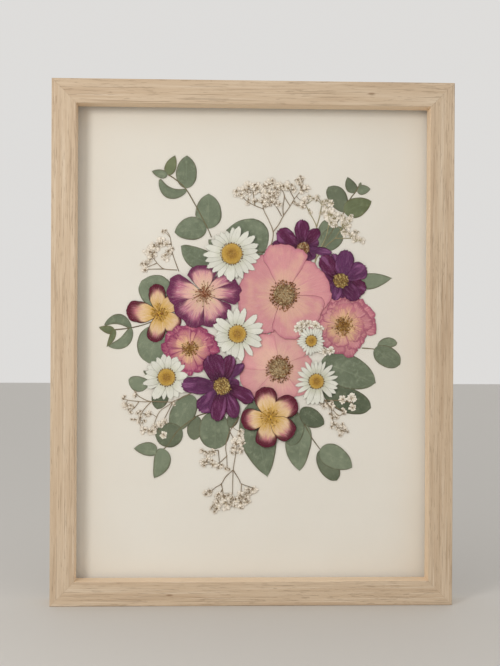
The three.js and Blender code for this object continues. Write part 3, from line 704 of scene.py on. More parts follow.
@dataclass(frozen=True)
class WoodFinish:
    """Pale bleached ash: long soft bands, fine fibres, short dark pores and a few small knots,
    all drawn out along the rail, and painted light: faces that don't look forward are painted paler."""

    name: str
    lie: Lie
    pale: Colour = (216, 195, 169)
    mid: Colour = (208, 185, 157)
    dark: Colour = (192, 166, 138)
    fleck: Colour = (230, 213, 190)
    pore: Colour = (158, 130, 101)
    knot: Colour = (142, 110, 81)
    # Painted light: the paler colour painted on the inner walls, outer sides and arrises, in place of the
    # light that falls on them.
    side: Colour = (255, 231, 200)
    side_light_share: float = 0.62
    relief: float = 0.35 * MM

    def build(self) -> bpy.types.Material:
        """Builds the material.

        Returns:
            The finished material.
        """
        g = Graph(self.name)
        place = g.place()

        def along(slow: float, fast: float) -> bpy.types.NodeSocket:
            """Scales the place on the rail by the grain.

            Args:
                slow: Scale along the grain, per metre.
                fast: Scale across it, per metre.

            Returns:
                The scaled place.
            """
            scale = (slow, fast, fast) if self.lie is Lie.LEVEL else (fast, fast, slow)
            return g.times(place, scale)

        sway = g.noise(along(7.0, 14.0), 1.0, 2.0)
        bent = g.node("VectorMath", {0: along(5.0, 150.0), 1: g.vector(sway, sway, sway)}, operation="ADD")
        band = g.noise(bent, 1.0, 3.0)
        fibre = g.noise(along(22.0, 1100.0), 1.0, 4.0, 0.7)
        pore = g.noise(along(95.0, 1900.0), 1.0, 2.0, 0.5)
        cell = g.node("TexVoronoi", {"Vector": along(14.0, 46.0), "Scale": 1.0}, "Distance")
        scratch = g.noise(along(9.0, 620.0), 1.0, 3.0, 0.6)
        colour = g.ramp(band, [(0.3, self.pale), (0.5, self.mid), (0.74, self.dark)])
        colour = g.mix(g.stretch(fibre, 0.48, 0.75, 0.0, 0.5), colour, linear(self.dark))
        colour = g.mix(g.stretch(fibre, 0.28, 0.45, 0.6, 0.0), colour, linear(self.fleck))
        colour = g.mix(g.stretch(scratch, 0.57, 0.68, 0.0, 0.45), colour, linear(self.dark))
        colour = g.mix(g.stretch(scratch, 0.32, 0.42, 0.5, 0.0), colour, linear(self.fleck))
        fissure = g.noise(along(13.0, 1150.0), 1.0, 2.0, 0.45)
        fissures = g.stretch(fissure, 0.62, 0.69, 0.0, 0.45)
        pores = g.math("MAXIMUM", g.stretch(pore, 0.62, 0.72, 0.0, 0.4), fissures)
        colour = g.mix(pores, colour, linear(self.pore))
        colour = g.mix(g.stretch(cell, 0.02, 0.06, 0.7, 0.0), colour, linear(self.knot))
        # Painted light: faces that turn away from the front take the paler side colour.
        facing = g.math("ABSOLUTE", g.node("SeparateXYZ", {0: g.node("TexCoord", {}, "Normal")}, 1))
        colour = g.mix(g.stretch(facing, 0.2, 0.8, self.side_light_share, 0.0), colour, linear(self.side))
        height = g.less(g.total(g.product(fibre, 0.6), scratch), pores)
        return g.done(colour, g.stretch(fibre, 0.3, 0.7, 0.5, 0.68), height, self.relief)


@dataclass(frozen=True)
class SheetFinish:
    """Paper or hardboard: one colour with cloudy and fibrous variation and a fine tooth."""

    name: str
    pale: Colour
    deep: Colour
    cloud: float = 30.0
    fibre: float = 900.0
    tooth: float = 0.05 * MM
    roughness: float = 0.85

    def build(self) -> bpy.types.Material:
        """Builds the material.

        Returns:
            The finished material.
        """
        g = Graph(self.name)
        place = g.place()
        cloud = g.noise(place, self.cloud, 4.0)
        fibre = g.noise(g.times(place, (1.0, 1.0, 2.2)), self.fibre, 4.0, 0.7)
        share = g.stretch(g.total(g.product(cloud, 0.5), fibre), 0.45, 1.05)
        colour = g.mix(share, linear(self.pale), linear(self.deep))
        return g.done(colour, self.roughness, fibre, self.tooth, 0.2)


@dataclass(frozen=True)
class MetalFinish:
    """Zinc-plated steel: brushed along x, with faint dull clouds."""

    name: str
    pale: Colour = (196, 198, 200)
    deep: Colour = (150, 152, 154)
    relief: float = 0.02 * MM

    def build(self) -> bpy.types.Material:
        """Builds the material.

        Returns:
            The finished material.
        """
        g = Graph(self.name)
        place = g.place()
        brush = g.noise(g.times(place, (80.0, 2500.0, 2500.0)), 1.0, 3.0, 0.6)
        cloud = g.noise(place, 220.0, 4.0)
        share = g.product(g.total(brush, cloud), 0.5)
        colour = g.mix(share, linear(self.pale), linear(self.deep))
        roughness = g.stretch(cloud, 0.3, 0.7, 0.28, 0.45)
        return g.done(colour, roughness, brush, self.relief, specular=0.5, metallic=1.0)


@dataclass(frozen=True)
class GlassFinish:
    """Clear float glass with a coating that takes away most of what it mirrors head on."""

    name: str
    tint: Colour = (252, 254, 253)
    mirrored: Colour = (70, 74, 78)
    index: float = 1.45

    def build(self) -> bpy.types.Material:
        """Builds the material.

        Returns:
            The finished material.
        """
        g = Graph(self.name)
        g.shader.inputs["Transmission Weight"].default_value = 1.0
        g.shader.inputs["IOR"].default_value = self.index
        g.shader.inputs["Specular Tint"].default_value = linear(self.mirrored)
        return g.done(linear(self.tint), 0.0, specular=0.5)


# ---- Layout --------------------------------------------------------------------------------


@dataclass(frozen=True)
class Slab:
    """The room a CAD plate leaves for the sheets that stand for it."""

    front: float
    back: float

    @classmethod
    def of(cls, node: str) -> "Slab":
        """Reads the room of a node from its box."""
        low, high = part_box(node)
        return cls(low.y, high.y)

    @property
    def depth(self) -> float:
        """How deep the room is."""
        return self.back - self.front

    def level(self, share: float) -> float:
        """The y at a share of the way from the back of the room to its front."""
        return self.back + (self.front - self.back) * share


MIDDLE_Z = (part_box("rail_bottom")[0].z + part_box("rail_top")[1].z) / 2.0


def lay(x: Grid, z: Grid, y: Grid | float) -> Grid:
    """Places points that are given in millimetres from the middle of the sight opening.

    Args:
        x: Distance to the right, in millimetres.
        z: Distance up, in millimetres.
        y: Depth in the shared frame, in metres.

    Returns:
        Places in metres, with a last axis of three.
    """
    x, z, y = np.broadcast_arrays(x, z, y)
    return np.stack([x * MM, y, z * MM + MIDDLE_Z], -1)


def bulge(s: Grid, taper: float, blunt: float) -> Grid:
    """Half width of a petal or leaf along its length: s to the power taper times (1 - s) to
    the power blunt, scaled so that the widest place is 1.

    Args:
        s: Shares of the length, from 0 to 1.
        taper: Power towards the base.
        blunt: Power towards the tip.

    Returns:
        The half width at each share.
    """
    widest = taper / (taper + blunt)
    return (s / widest) ** taper * ((1 - s) / (1 - widest)) ** blunt


def ends_close(count: int) -> Grid:
    """Shares from 0 to 1 that stand closer together towards both ends.

    Args:
        count: Number of shares.

    Returns:
        The shares.
    """
    return 0.5 - 0.5 * np.cos(np.linspace(0, math.pi, count))


def heading(angle: Grid | float) -> tuple[Grid, Grid]:
    """Which way an angle points.

    Args:
        angle: In degrees.

    Returns:
        Its cosine and sine.
    """
    return np.cos(np.radians(angle)), np.sin(np.radians(angle))


def swell(x: Grid, z: Grid) -> Grid:
    """The gentle unevenness that stacked sheets share: a sum of sine waves over x and z, so
    that sheets that lie on each other rise and fall together.

    Args:
        x: Distance to the right, in millimetres.
        z: Distance up, in millimetres.

    Returns:
        How far forward each place stands, in millimetres.
    """
    heights = [SWELL_HEIGHT / (1 + 0.4 * i) for i in range(len(SWELL_WAVES))]
    return sum(height * np.sin(a * x + b * z + c) for height, (a, b, c) in zip(heights, SWELL_WAVES))


def layers_of(count: int, touches: Callable[[int, int], bool]) -> tuple[list[int], int]:
    """Sorts sheets into layers: each lies one above the highest earlier sheet that it touches.

    Args:
        count: Number of sheets, lowest first.
        touches: Says whether two sheets overlap.

    Returns:
        The layer of each sheet from 0, and the number of layers.
    """
    layers: list[int] = []
    for i in range(count):
        layers.append(1 + max((layers[j] for j in range(i) if touches(i, j)), default=-1))
    return layers, max(layers) + 1


def add_pressed(work: Patchwork, patch: Patch, level: float, give: float, thickness: float, tone: float,
                slot: int) -> None:
    """Adds a sheet that follows the swell, with a share of its own relief.

    Args:
        work: Where it is gathered.
        patch: The sheet, as a shape's grid gives it.
        level: Depth of its back, in metres.
        give: Share of its own relief.
        thickness: In metres.
        tone: Tone of the whole sheet.
        slot: Which of the piece's finishes it takes.
    """
    x, z, relief, uv, rim = patch
    y = level - thickness - (swell(x, z) + give * relief) * MM * RELIEF_KEPT
    work.sheet(lay(x, z, y), uv, rim, tone, thickness, slot)


def add_loose(work: Patchwork, patch: Patch, level: float, crumple: float, thickness: float, tone: float,
              slot: int) -> None:
    """Adds a small sheet with its own relief only.

    Args:
        work: Where it is gathered.
        patch: The sheet, as a shape's grid gives it.
        level: Depth of its back, in metres.
        crumple: Share of its relief.
        thickness: In metres.
        tone: Tone of the whole sheet.
        slot: Which of the piece's finishes it takes.
    """
    x, z, relief, uv, rim = patch
    y = level - thickness - relief * MM * crumple
    work.sheet(lay(x, z, y), uv, rim, tone, thickness, slot)


@dataclass(frozen=True)
class Strap:
    """A petal that is widest towards its tip.

    Its half width follows bulge, cut off at the share kept so that the tip has a width of its
    own. The tip is rounded by a square law across, and notched by a cosine.
    """

    taper: float = 0.45
    blunt: float = 0.26
    kept: float = 0.975
    rounding: float = 0.05
    teeth: float = 0.012
    tooth_count: float = 3.0
    furrows: float = 2.0
    furrow_depth: float = 0.05
    ragged: float = 0.03
    bend: float = 0.012
    least: float = 0.12
    reach_at: float = 0.62
    rows: int = 18
    columns: int = 9

    def reach(self, petal: Petal) -> float:
        """Half the angle that a petal takes up round the flower, in degrees."""
        return math.degrees(math.atan2(petal[2] / 2, self.reach_at * petal[1]))

    def grid(self, at: Place, petal: Petal, longest: float, rng: np.random.Generator) -> Patch:
        """Works out one petal.

        Args:
            at: Middle of the flower, in millimetres.
            petal: Angle, length and width.
            longest: Length that counts as 1 along the petal.
            rng: Source of its small differences.

        Returns:
            x and z in millimetres, relief in millimetres, uv, and distance from the outline.
        """
        angle, length, width = petal
        s = ends_close(self.rows)[:, None]
        t = np.linspace(-1, 1, self.columns)[None, :]
        half = width / 2 * np.maximum(bulge(s * self.kept, self.taper, self.blunt), self.least)
        sides = self.ragged * np.sign(t) * np.sin(5 * s)
        half = half * (1 + wobble(s, rng, (1.3, 2.7, 4.9), 2 * self.ragged) + sides)
        notches = 1 - np.cos(self.tooth_count * math.pi * t + rng.uniform(0, 3))
        cut = self.rounding * t**2 + self.teeth * notches
        run = length * (s - s**5 * cut)
        bend = length * rng.normal(0, self.bend) * np.sin(math.pi * s)
        off = t * half + bend
        cos, sin = heading(angle)
        relief = self.furrow_depth * np.cos(self.furrows * math.pi * t) * np.sin(math.pi * s * 0.9) ** 0.5
        relief = relief + wobble(s + 0.3 * t, rng, (0.7, 1.6), 0.06)
        uv = np.stack(np.broadcast_arrays(t * 0.5 + 0.5, s * length / longest), -1)
        rim = np.minimum((1 - np.abs(t)) * half, (1 - s) * length)
        return at[0] + run * cos - off * sin, at[1] + run * sin + off * cos, relief, uv, rim


@dataclass(frozen=True)
class Fan:
    """A broad petal, as a sector that opens from a narrow base.

    A point's angle is the petal's own plus the half angle times v, a little less near the
    base. Its reach is the length, less the share drop times v to the power corner, with
    ripples along the rim.
    """

    drop: float = 0.14
    corner: float = 4.0
    neck: float = 1.1
    notch: float = 0.0
    ripple: float = 0.02
    folds: float = 5.0
    fold_depth: float = 0.07
    start: float = 0.06
    rows: int = 30
    columns: int = 35

    def reach(self, petal: Petal) -> float:
        """Half the angle that a petal takes up round the flower, in degrees."""
        return petal[2] * self.neck

    def grid(self, at: Place, petal: Petal, longest: float, rng: np.random.Generator) -> Patch:
        """Works out one petal.

        Args:
            at: Middle of the flower, in millimetres.
            petal: Angle, length and half angle.
            longest: Length that counts as 1 along the petal.
            rng: Source of its small differences.

        Returns:
            x and z in millimetres, relief in millimetres, uv, and distance from the outline.
        """
        angle, length, half_angle = petal
        u = self.start + (1 - self.start) * np.sin(np.linspace(0, math.pi / 2, self.rows))[:, None]
        v = np.sin(np.linspace(-1, 1, self.columns) * math.pi / 2)[None, :]
        ripple = wobble((v + 1) / 2, rng, (1.4, 2.8, 5.3, 9.7, 17.0), self.ripple * 2.4)
        cleft = self.notch * np.exp(-(((v - rng.normal(0, 0.12)) / 0.22) ** 2))
        reach = length * (1 - self.drop * np.abs(v) ** self.corner + ripple - cleft)
        side = wobble(u + np.sign(v), rng, (0.8, 1.7, 3.1), 0.07)
        turn = angle + half_angle * v * (self.neck + (1 - self.neck) * u) * (1 + side)
        cos, sin = heading(turn)
        relief = self.fold_depth * np.sin(self.folds * math.pi * v + rng.uniform(0, 6)) * u
        relief = relief + wobble(u + 0.4 * v, rng, (0.9, 2.1), 0.08)
        uv = np.stack(np.broadcast_arrays(v * 0.5 + 0.5, u * length / longest), -1)
        rim = np.minimum((1 - u) * reach, (1 - np.abs(v)) * np.radians(half_angle) * u * length)
        return at[0] + u * reach * cos, at[1] + u * reach * sin, relief, uv, rim


@dataclass(frozen=True)
class Whorl:
    """One ring of petals, lowest petal first."""

    shape: Strap | Fan
    petals: tuple[Petal, ...]
    slot: int = 0

    def shrunk(self, share: float, turn: float, widen: float = 1.0, slot: int = 0, take: int = 1) -> "Whorl":
        """The same ring, smaller and turned, for an inner ring. Its petals' angles and lengths
        sway a little by a sine of their angle.

        Args:
            share: Share of the length.
            turn: How far it is turned, in degrees.
            widen: What the widths are multiplied by.
            slot: Which of the flower's finishes it takes.
            take: Every how many petals one is taken.

        Returns:
            The inner ring.
        """
        petals = tuple(
            (a + turn + 6 * math.sin(a), length * share * (1 + 0.09 * math.sin(2.3 * a + turn)), w * widen)
            for a, length, w in self.petals[::take]
        )
        return Whorl(self.shape, petals, slot)


class Centre(Enum):
    """What stands in the middle of a flower."""

    DISC = "disc"
    STAMENS = "stamens"


@dataclass(frozen=True)
class Disc:
    """Sizes of a daisy's disc: grains in millimetres, thin parts in metres, and shares of its
    radius."""

    bead: float = 0.34
    bead_growth: float = 0.012
    bead_depth: float = 0.16 * MM
    packing: float = 0.92
    reach: float = 0.97
    seat: float = 0.98
    seat_tone: float = 0.7
    tooth_step: float = 2.0
    tooth_back: float = 0.1 * MM
    tooth_shape: tuple[float, float, float] = (1.0, 0.3, 1.0)


@dataclass(frozen=True)
class Boss:
    """Sizes of a flower's stamens: shares of the middle's radius, and radii in millimetres."""

    count: int = 90
    inner: float = 0.3
    outer: float = 1.0
    anther: float = 0.42
    filament: float = 0.1
    heap: float = 0.5
    styles: int = 50
    style: float = 0.38
    seat: float = 0.1
    drift: float = 0.15
    swirl: float = 0.16
    thinning: float = 0.35
    anther_shape: tuple[float, float, float] = (1.35, 0.75, 0.4)
    style_shape: tuple[float, float, float] = (1.5, 0.75, 0.4)


@dataclass(frozen=True)
class Flower:
    """A pressed flower: its rings of petals and its middle."""

    name: str
    whorls: tuple[Whorl, ...]
    finishes: tuple[str, ...]
    slot: str
    centre: Centre
    grains: str
    boss: Boss = Boss()
    disc_sizes: Disc = Disc()
    thickness: float = 0.05 * MM
    seat_thickness: float = 0.03 * MM
    give: float = 0.6
    give_room: float = 4.0
    seed: int = 1

    @property
    def centre_node(self) -> str:
        """Name of the CAD node of the flower's middle."""
        return f"{self.name}_{self.centre.value}"

    def middle(self) -> tuple[Place, float]:
        """Reads the flower's middle from the frame.

        Returns:
            Its place and its radius, in millimetres.
        """
        low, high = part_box(self.centre_node)
        at = ((low.x + high.x) / 2 / MM, ((low.z + high.z) / 2 - MIDDLE_Z) / MM)
        return at, (high.z - low.z) / 2 / MM

    def petals(self, finishes: Finishes) -> bpy.types.Object:
        """Builds all the flower's petals as one piece.

        Args:
            finishes: Materials by name.

        Returns:
            The piece.
        """
        rng = np.random.default_rng(self.seed)
        at, _ = self.middle()
        room = Slab.of(f"{self.name}_petals")
        work = Patchwork()
        longest = max(length for w in self.whorls for _, length, _ in w.petals)
        turns = [(petal[0], whorl.shape.reach(petal)) for whorl in self.whorls for petal in whorl.petals]
        layers, count = layers_of(len(turns), lambda i, j: (
            abs((turns[i][0] - turns[j][0] + 180) % 360 - 180) < turns[i][1] + turns[j][1]
        ))
        give = min(self.give, self.give_room * room.depth / MM / count)
        levels = iter(layers)
        for whorl in self.whorls:
            for petal in whorl.petals:
                patch = whorl.shape.grid(at, petal, longest, rng)
                level = room.level(next(levels) / count)
                add_pressed(work, patch, level, give, self.thickness, float(rng.uniform()), whorl.slot)
        piece = work.build(f"{self.name}_corolla", [finishes[f] for f in self.finishes])
        return dress(piece, self.slot, f"{self.name}_petals")

    def disc(self, finishes: Finishes) -> bpy.types.Object:
        """Builds a daisy's disc: beads on a sunflower spiral over a low dome, each turn of the
        spiral a golden angle on and at a radius of the square root of its share.

        Args:
            finishes: Materials by name.

        Returns:
            The piece.
        """
        rng = np.random.default_rng(self.seed + 50)
        at, radius = self.middle()
        room = Slab.of(self.centre_node)
        sizes = self.disc_sizes
        bead = sizes.bead + sizes.bead_growth * radius
        count = int(sizes.packing * (radius / bead) ** 2)
        k = np.arange(count) + 0.5
        out = np.sqrt(k / count)
        turn = k * GOLDEN_ANGLE + rng.normal(0, 0.05, count)
        size = bead * (1.05 - 0.35 * (1 - out)) * rng.uniform(0.85, 1.15, count)
        dimple = 1 - 0.3 * np.exp(-((out / 0.3) ** 2))
        height = room.depth * (0.92 - 0.75 * out**2.4) * dimple
        run = radius * sizes.reach * out
        centres = lay(at[0] + run * np.cos(turn), at[1] + run * np.sin(turn), room.back - height)
        radii = np.stack([size, size * 0.5, size], -1) * MM
        radii[:, 1] = np.minimum(radii[:, 1], sizes.bead_depth)
        work = Patchwork()
        work.beads(centres, radii, out)
        teeth = int(TURN * radius / sizes.tooth_step)
        angle = (np.arange(teeth) + rng.uniform(-0.2, 0.2, teeth)) * TURN / teeth
        far = radius * rng.uniform(1.0, 1.08, teeth)
        spots = lay(at[0] + far * np.cos(angle), at[1] + far * np.sin(angle), room.back - sizes.tooth_back)
        tooth = rng.uniform(0.46, 0.7, (teeth, 1)) * np.array(sizes.tooth_shape) * MM
        work.beads(spots, tooth, rng.uniform(0.0, 0.4, teeth), 1)
        self.base(work, at, radius * sizes.seat, room, sizes.seat_tone)
        piece = work.build(f"{self.name}_grains", [finishes[self.grains], finishes["disc_rim"]])
        return dress(piece, "disc", self.centre_node)

    def base(self, work: Patchwork, at: Place, radius: float, room: Slab, tone: float) -> None:
        """Adds a thin round seat behind the grains, with a ragged edge, that rises towards its
        middle as one less the radius squared.

        Args:
            work: Where it is gathered.
            at: Middle of the flower, in millimetres.
            radius: In millimetres.
            room: Depth that it may take.
            tone: Tone of the whole seat.
        """
        u = np.linspace(0.1, 1, 10)[:, None]
        a = round_turn(32)[None, :]
        full = room.depth * 0.5
        ragged = 1 + wobble(a / TURN, np.random.default_rng(self.seed), (5, 11, 17), 0.08) * u
        x, z = at[0] + radius * u * ragged * np.cos(a), at[1] + radius * u * ragged * np.sin(a)
        level = room.back - self.seat_thickness
        rings, top = lay(x, z, level - full * (1 - u**2)), lay(at[0], at[1], level - full)
        work.dish(rings, top, self.seat_thickness, tone)

    def stamens(self, finishes: Finishes) -> bpy.types.Object:
        """Builds a boss of stamens: thin threads that run out from the middle and end in
        anthers, round a heap of styles.

        Args:
            finishes: Materials by name.

        Returns:
            The piece.
        """
        rng = np.random.default_rng(self.seed + 80)
        at, radius = self.middle()
        room = Slab.of(self.centre_node)
        boss = self.boss
        deep = room.depth
        turn = np.arange(boss.count) * GOLDEN_ANGLE + rng.normal(0, boss.drift, boss.count)
        share = boss.inner + (boss.outer - boss.inner) * rng.beta(1.6, 1.9, boss.count)
        out = radius * share
        s = np.linspace(0, 1, 6)[None, :]
        swirl = turn[:, None] + rng.normal(0, boss.swirl, (boss.count, 1)) * s**2
        run = radius * boss.inner * 0.4 * (1 - s) + out[:, None] * s
        level = room.back - deep * (0.1 + rng.uniform(0, 0.6, (boss.count, 1)) * np.sin(math.pi * s * 0.7))
        paths = lay(at[0] + run * np.cos(swirl), at[1] + run * np.sin(swirl), level)
        work = Patchwork()
        widths = boss.filament * MM * (1 - boss.thinning * s) * np.ones((boss.count, 1))
        work.tubes(paths, widths, rng.uniform(0.4, 0.7, boss.count), 4)
        tips = paths[:, -1].copy()
        tips[:, 1] = np.clip(tips[:, 1] - deep * 0.1, room.front + deep * 0.2, room.back - deep * 0.2)
        size = boss.anther * rng.uniform(0.7, 1.3, (boss.count, 1)) * np.array(boss.anther_shape) * MM
        work.grains(tips, rng.uniform(0, math.pi, boss.count), size, rng.uniform(0.0, 0.5, boss.count))
        reach = radius * boss.heap * np.sqrt(rng.uniform(0, 1, boss.styles))
        around = rng.uniform(0, TURN, boss.styles)
        size = boss.style * rng.uniform(0.7, 1.3, (boss.styles, 1)) * np.array(boss.style_shape) * MM
        rise = room.back - deep * (0.7 - 0.35 * (reach / radius) ** 2 + rng.uniform(0, 0.25, boss.styles))
        heap = lay(at[0] + reach * np.cos(around), at[1] + reach * np.sin(around), rise)
        turns, tones = rng.uniform(0, math.pi, boss.styles), rng.uniform(0.5, 1.0, boss.styles)
        work.grains(heap, turns, size, tones)
        self.base(work, at, radius * boss.heap, room, boss.seat)
        piece = work.build(f"{self.name}_boss", [finishes[self.grains]])
        return dress(piece, "stamen", self.centre_node)

    def build(self, finishes: Finishes) -> None:
        """Builds the flower's two pieces.

        Args:
            finishes: Materials by name.
        """
        middle = self.disc if self.centre is Centre.DISC else self.stamens
        self.petals(finishes)
        middle(finishes)


def dress(piece: bpy.types.Object, slot: str, *nodes: str) -> bpy.types.Object:
    """Ties a piece to the frame, and reports it.

    Args:
        piece: The piece.
        slot: Name of a material slot; not used.
        nodes: CAD nodes that it stands for.

    Returns:
        The piece.
    """
    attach(piece, "root")
    if nodes:
        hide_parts(*nodes)
    LOG.info("%s: %d faces", piece.name, len(piece.data.polygons))
    return piece


class LeafKind(Enum):
    """Finish of a leaf or twig."""

    GREY = "leaf_grey"
    DEEP = "leaf_deep"
    OLIVE = "leaf_olive"
    TWIG = "twig"


@dataclass(frozen=True)
class Leaf:
    """A eucalyptus leaf. Its outline runs from base to tip with a half width of its own on
    each side, and its middle line bows to the left by bow times 4 s (1 - s)."""

    base: Place
    tip: Place
    left: float
    right: float
    bow: float = 0.0
    kind: LeafKind = LeafKind.GREY
    taper: float = 0.52
    blunt: float = 0.68
    least: float = 0.03
    rows: int = 26
    columns: int = 15

    def grid(self, rng: np.random.Generator) -> Patch:
        """Works out the leaf.

        Args:
            rng: Source of its small differences.

        Returns:
            x and z in millimetres, relief in millimetres, uv, and distance from the outline.
        """
        start, end = np.array(self.base), np.array(self.tip)
        length = float(np.hypot(*(end - start)))
        ahead = (end - start) / length
        side = np.array([-ahead[1], ahead[0]])
        s = ends_close(self.rows)[:, None]
        t = np.linspace(-1, 1, self.columns)[None, :]
        outline = np.maximum(bulge(s * 0.998, self.taper, self.blunt), self.least)
        half = np.where(t > 0, self.left, self.right) * outline
        half = half * (1 + wobble(s + np.sign(t), rng, (1.1, 2.3, 4.1, 7.3), 0.06))
        off = t * half + self.bow * 4 * s * (1 - s)
        run = length * (s - 0.02 * s**8 * t**2)
        x = start[0] + ahead[0] * run + side[0] * off
        z = start[1] + ahead[1] * run + side[1] * off
        relief = 0.09 * np.abs(t) ** 0.7 - 0.05 + wobble(s + 0.25 * t, rng, (0.8, 1.9, 3.3), 0.09)
        uv = np.stack(np.broadcast_arrays(t * 0.5 + 0.5, s), -1)
        rim = np.minimum((1 - np.abs(t)) * half, (1 - s) * length + s * length * 0.004)
        return x, z, relief, uv, rim


@dataclass(frozen=True)
class Sprig:
    """A eucalyptus twig with its leaves, or a loose leaf."""

    name: str
    leaves: tuple[Leaf, ...]
    stems: tuple[tuple[Place, ...], ...] = ()
    seed: int = 1
    stem_radius: float = 0.5
    give: float = 1.0
    give_room: float = 3.0
    thickness: float = 0.07 * MM

    def build(self, finishes: Finishes) -> None:
        """Builds the sprig as one piece: leaf sheets at small steps of depth, and stem tubes
        in front of their backs.

        Args:
            finishes: Materials by name.
        """
        rng = np.random.default_rng(self.seed)
        room = Slab.of(self.name)
        work = Patchwork()
        patches = [leaf.grid(rng) for leaf in self.leaves]
        boxes = [(x.min(), x.max(), z.min(), z.max()) for x, z, *_ in patches]
        layers, count = layers_of(len(boxes), lambda i, j: (
            boxes[i][0] < boxes[j][1] and boxes[j][0] < boxes[i][1]
            and boxes[i][2] < boxes[j][3] and boxes[j][2] < boxes[i][3]
        ))
        give = min(self.give, self.give_room * room.depth / MM / count)
        kinds = list(LeafKind)
        for leaf, layer, patch in zip(self.leaves, layers, patches):
            level = room.level(0.1 + 0.75 * layer / count)
            slot = kinds.index(leaf.kind)
            add_pressed(work, patch, level, give, self.thickness, float(rng.uniform()), slot)
        for run in self.stems:
            add_stem(work, run, room, self.stem_radius, kinds.index(LeafKind.TWIG), rng)
        piece = work.build(f"{self.name}_leaves", [finishes[kind.value] for kind in kinds])
        dress(piece, "leaf", self.name)


def add_stem(work: Patchwork, run: Sequence[Place], room: Slab, radius: float, slot: int,
             rng: np.random.Generator) -> None:
    """Adds a stem along a smooth curve through its points, thinner at its end.

    Args:
        work: Where it is gathered.
        run: Points in millimetres.
        room: Depth that it may take.
        radius: In millimetres, at its start.
        slot: Which of the piece's finishes it takes.
        rng: Source of its small differences.
    """
    curve = smooth_path(run)
    s = np.linspace(0, 1, len(curve))
    wide = radius * (1 - STEM_TAPER * s) * (1 + wobble(s * len(run), rng, (0.7, 1.9), 0.14)) * MM
    level = (room.front + room.back) / 2 + 0 * s
    path = lay(curve[:, 0], curve[:, 1], level)
    flat = min(1.0, room.depth * 0.45 / wide.max())
    work.tubes(path[None], wide[None], np.array([rng.uniform(0.2, 0.8)]), 6, flat, slot)


FLORET = Strap(taper=0.9, blunt=0.3, kept=0.96, rounding=0.12, teeth=0.09, tooth_count=2.0,
               furrow_depth=0.08, ragged=0.09, rows=5, columns=4)
LOBE = Strap(taper=0.4, blunt=0.9, kept=0.99, rounding=0.0, teeth=0.0, furrow_depth=0.0, rows=5, columns=3)
RUFFLED = Strap(taper=0.7, blunt=0.25, kept=0.96, rounding=0.1, teeth=0.1, tooth_count=3.0,
                furrow_depth=0.1, ragged=0.1, rows=6, columns=5)


def near(x: float, z: float, spread: float, rng: np.random.Generator) -> Place:
    """A random place close to another.

    Args:
        x: Distance to the right, in millimetres.
        z: Distance up, in millimetres.
        spread: Standard deviation each way, in millimetres.
        rng: Source of the difference.

    Returns:
        The place.
    """
    return x + rng.normal(0, spread), z + rng.normal(0, spread)


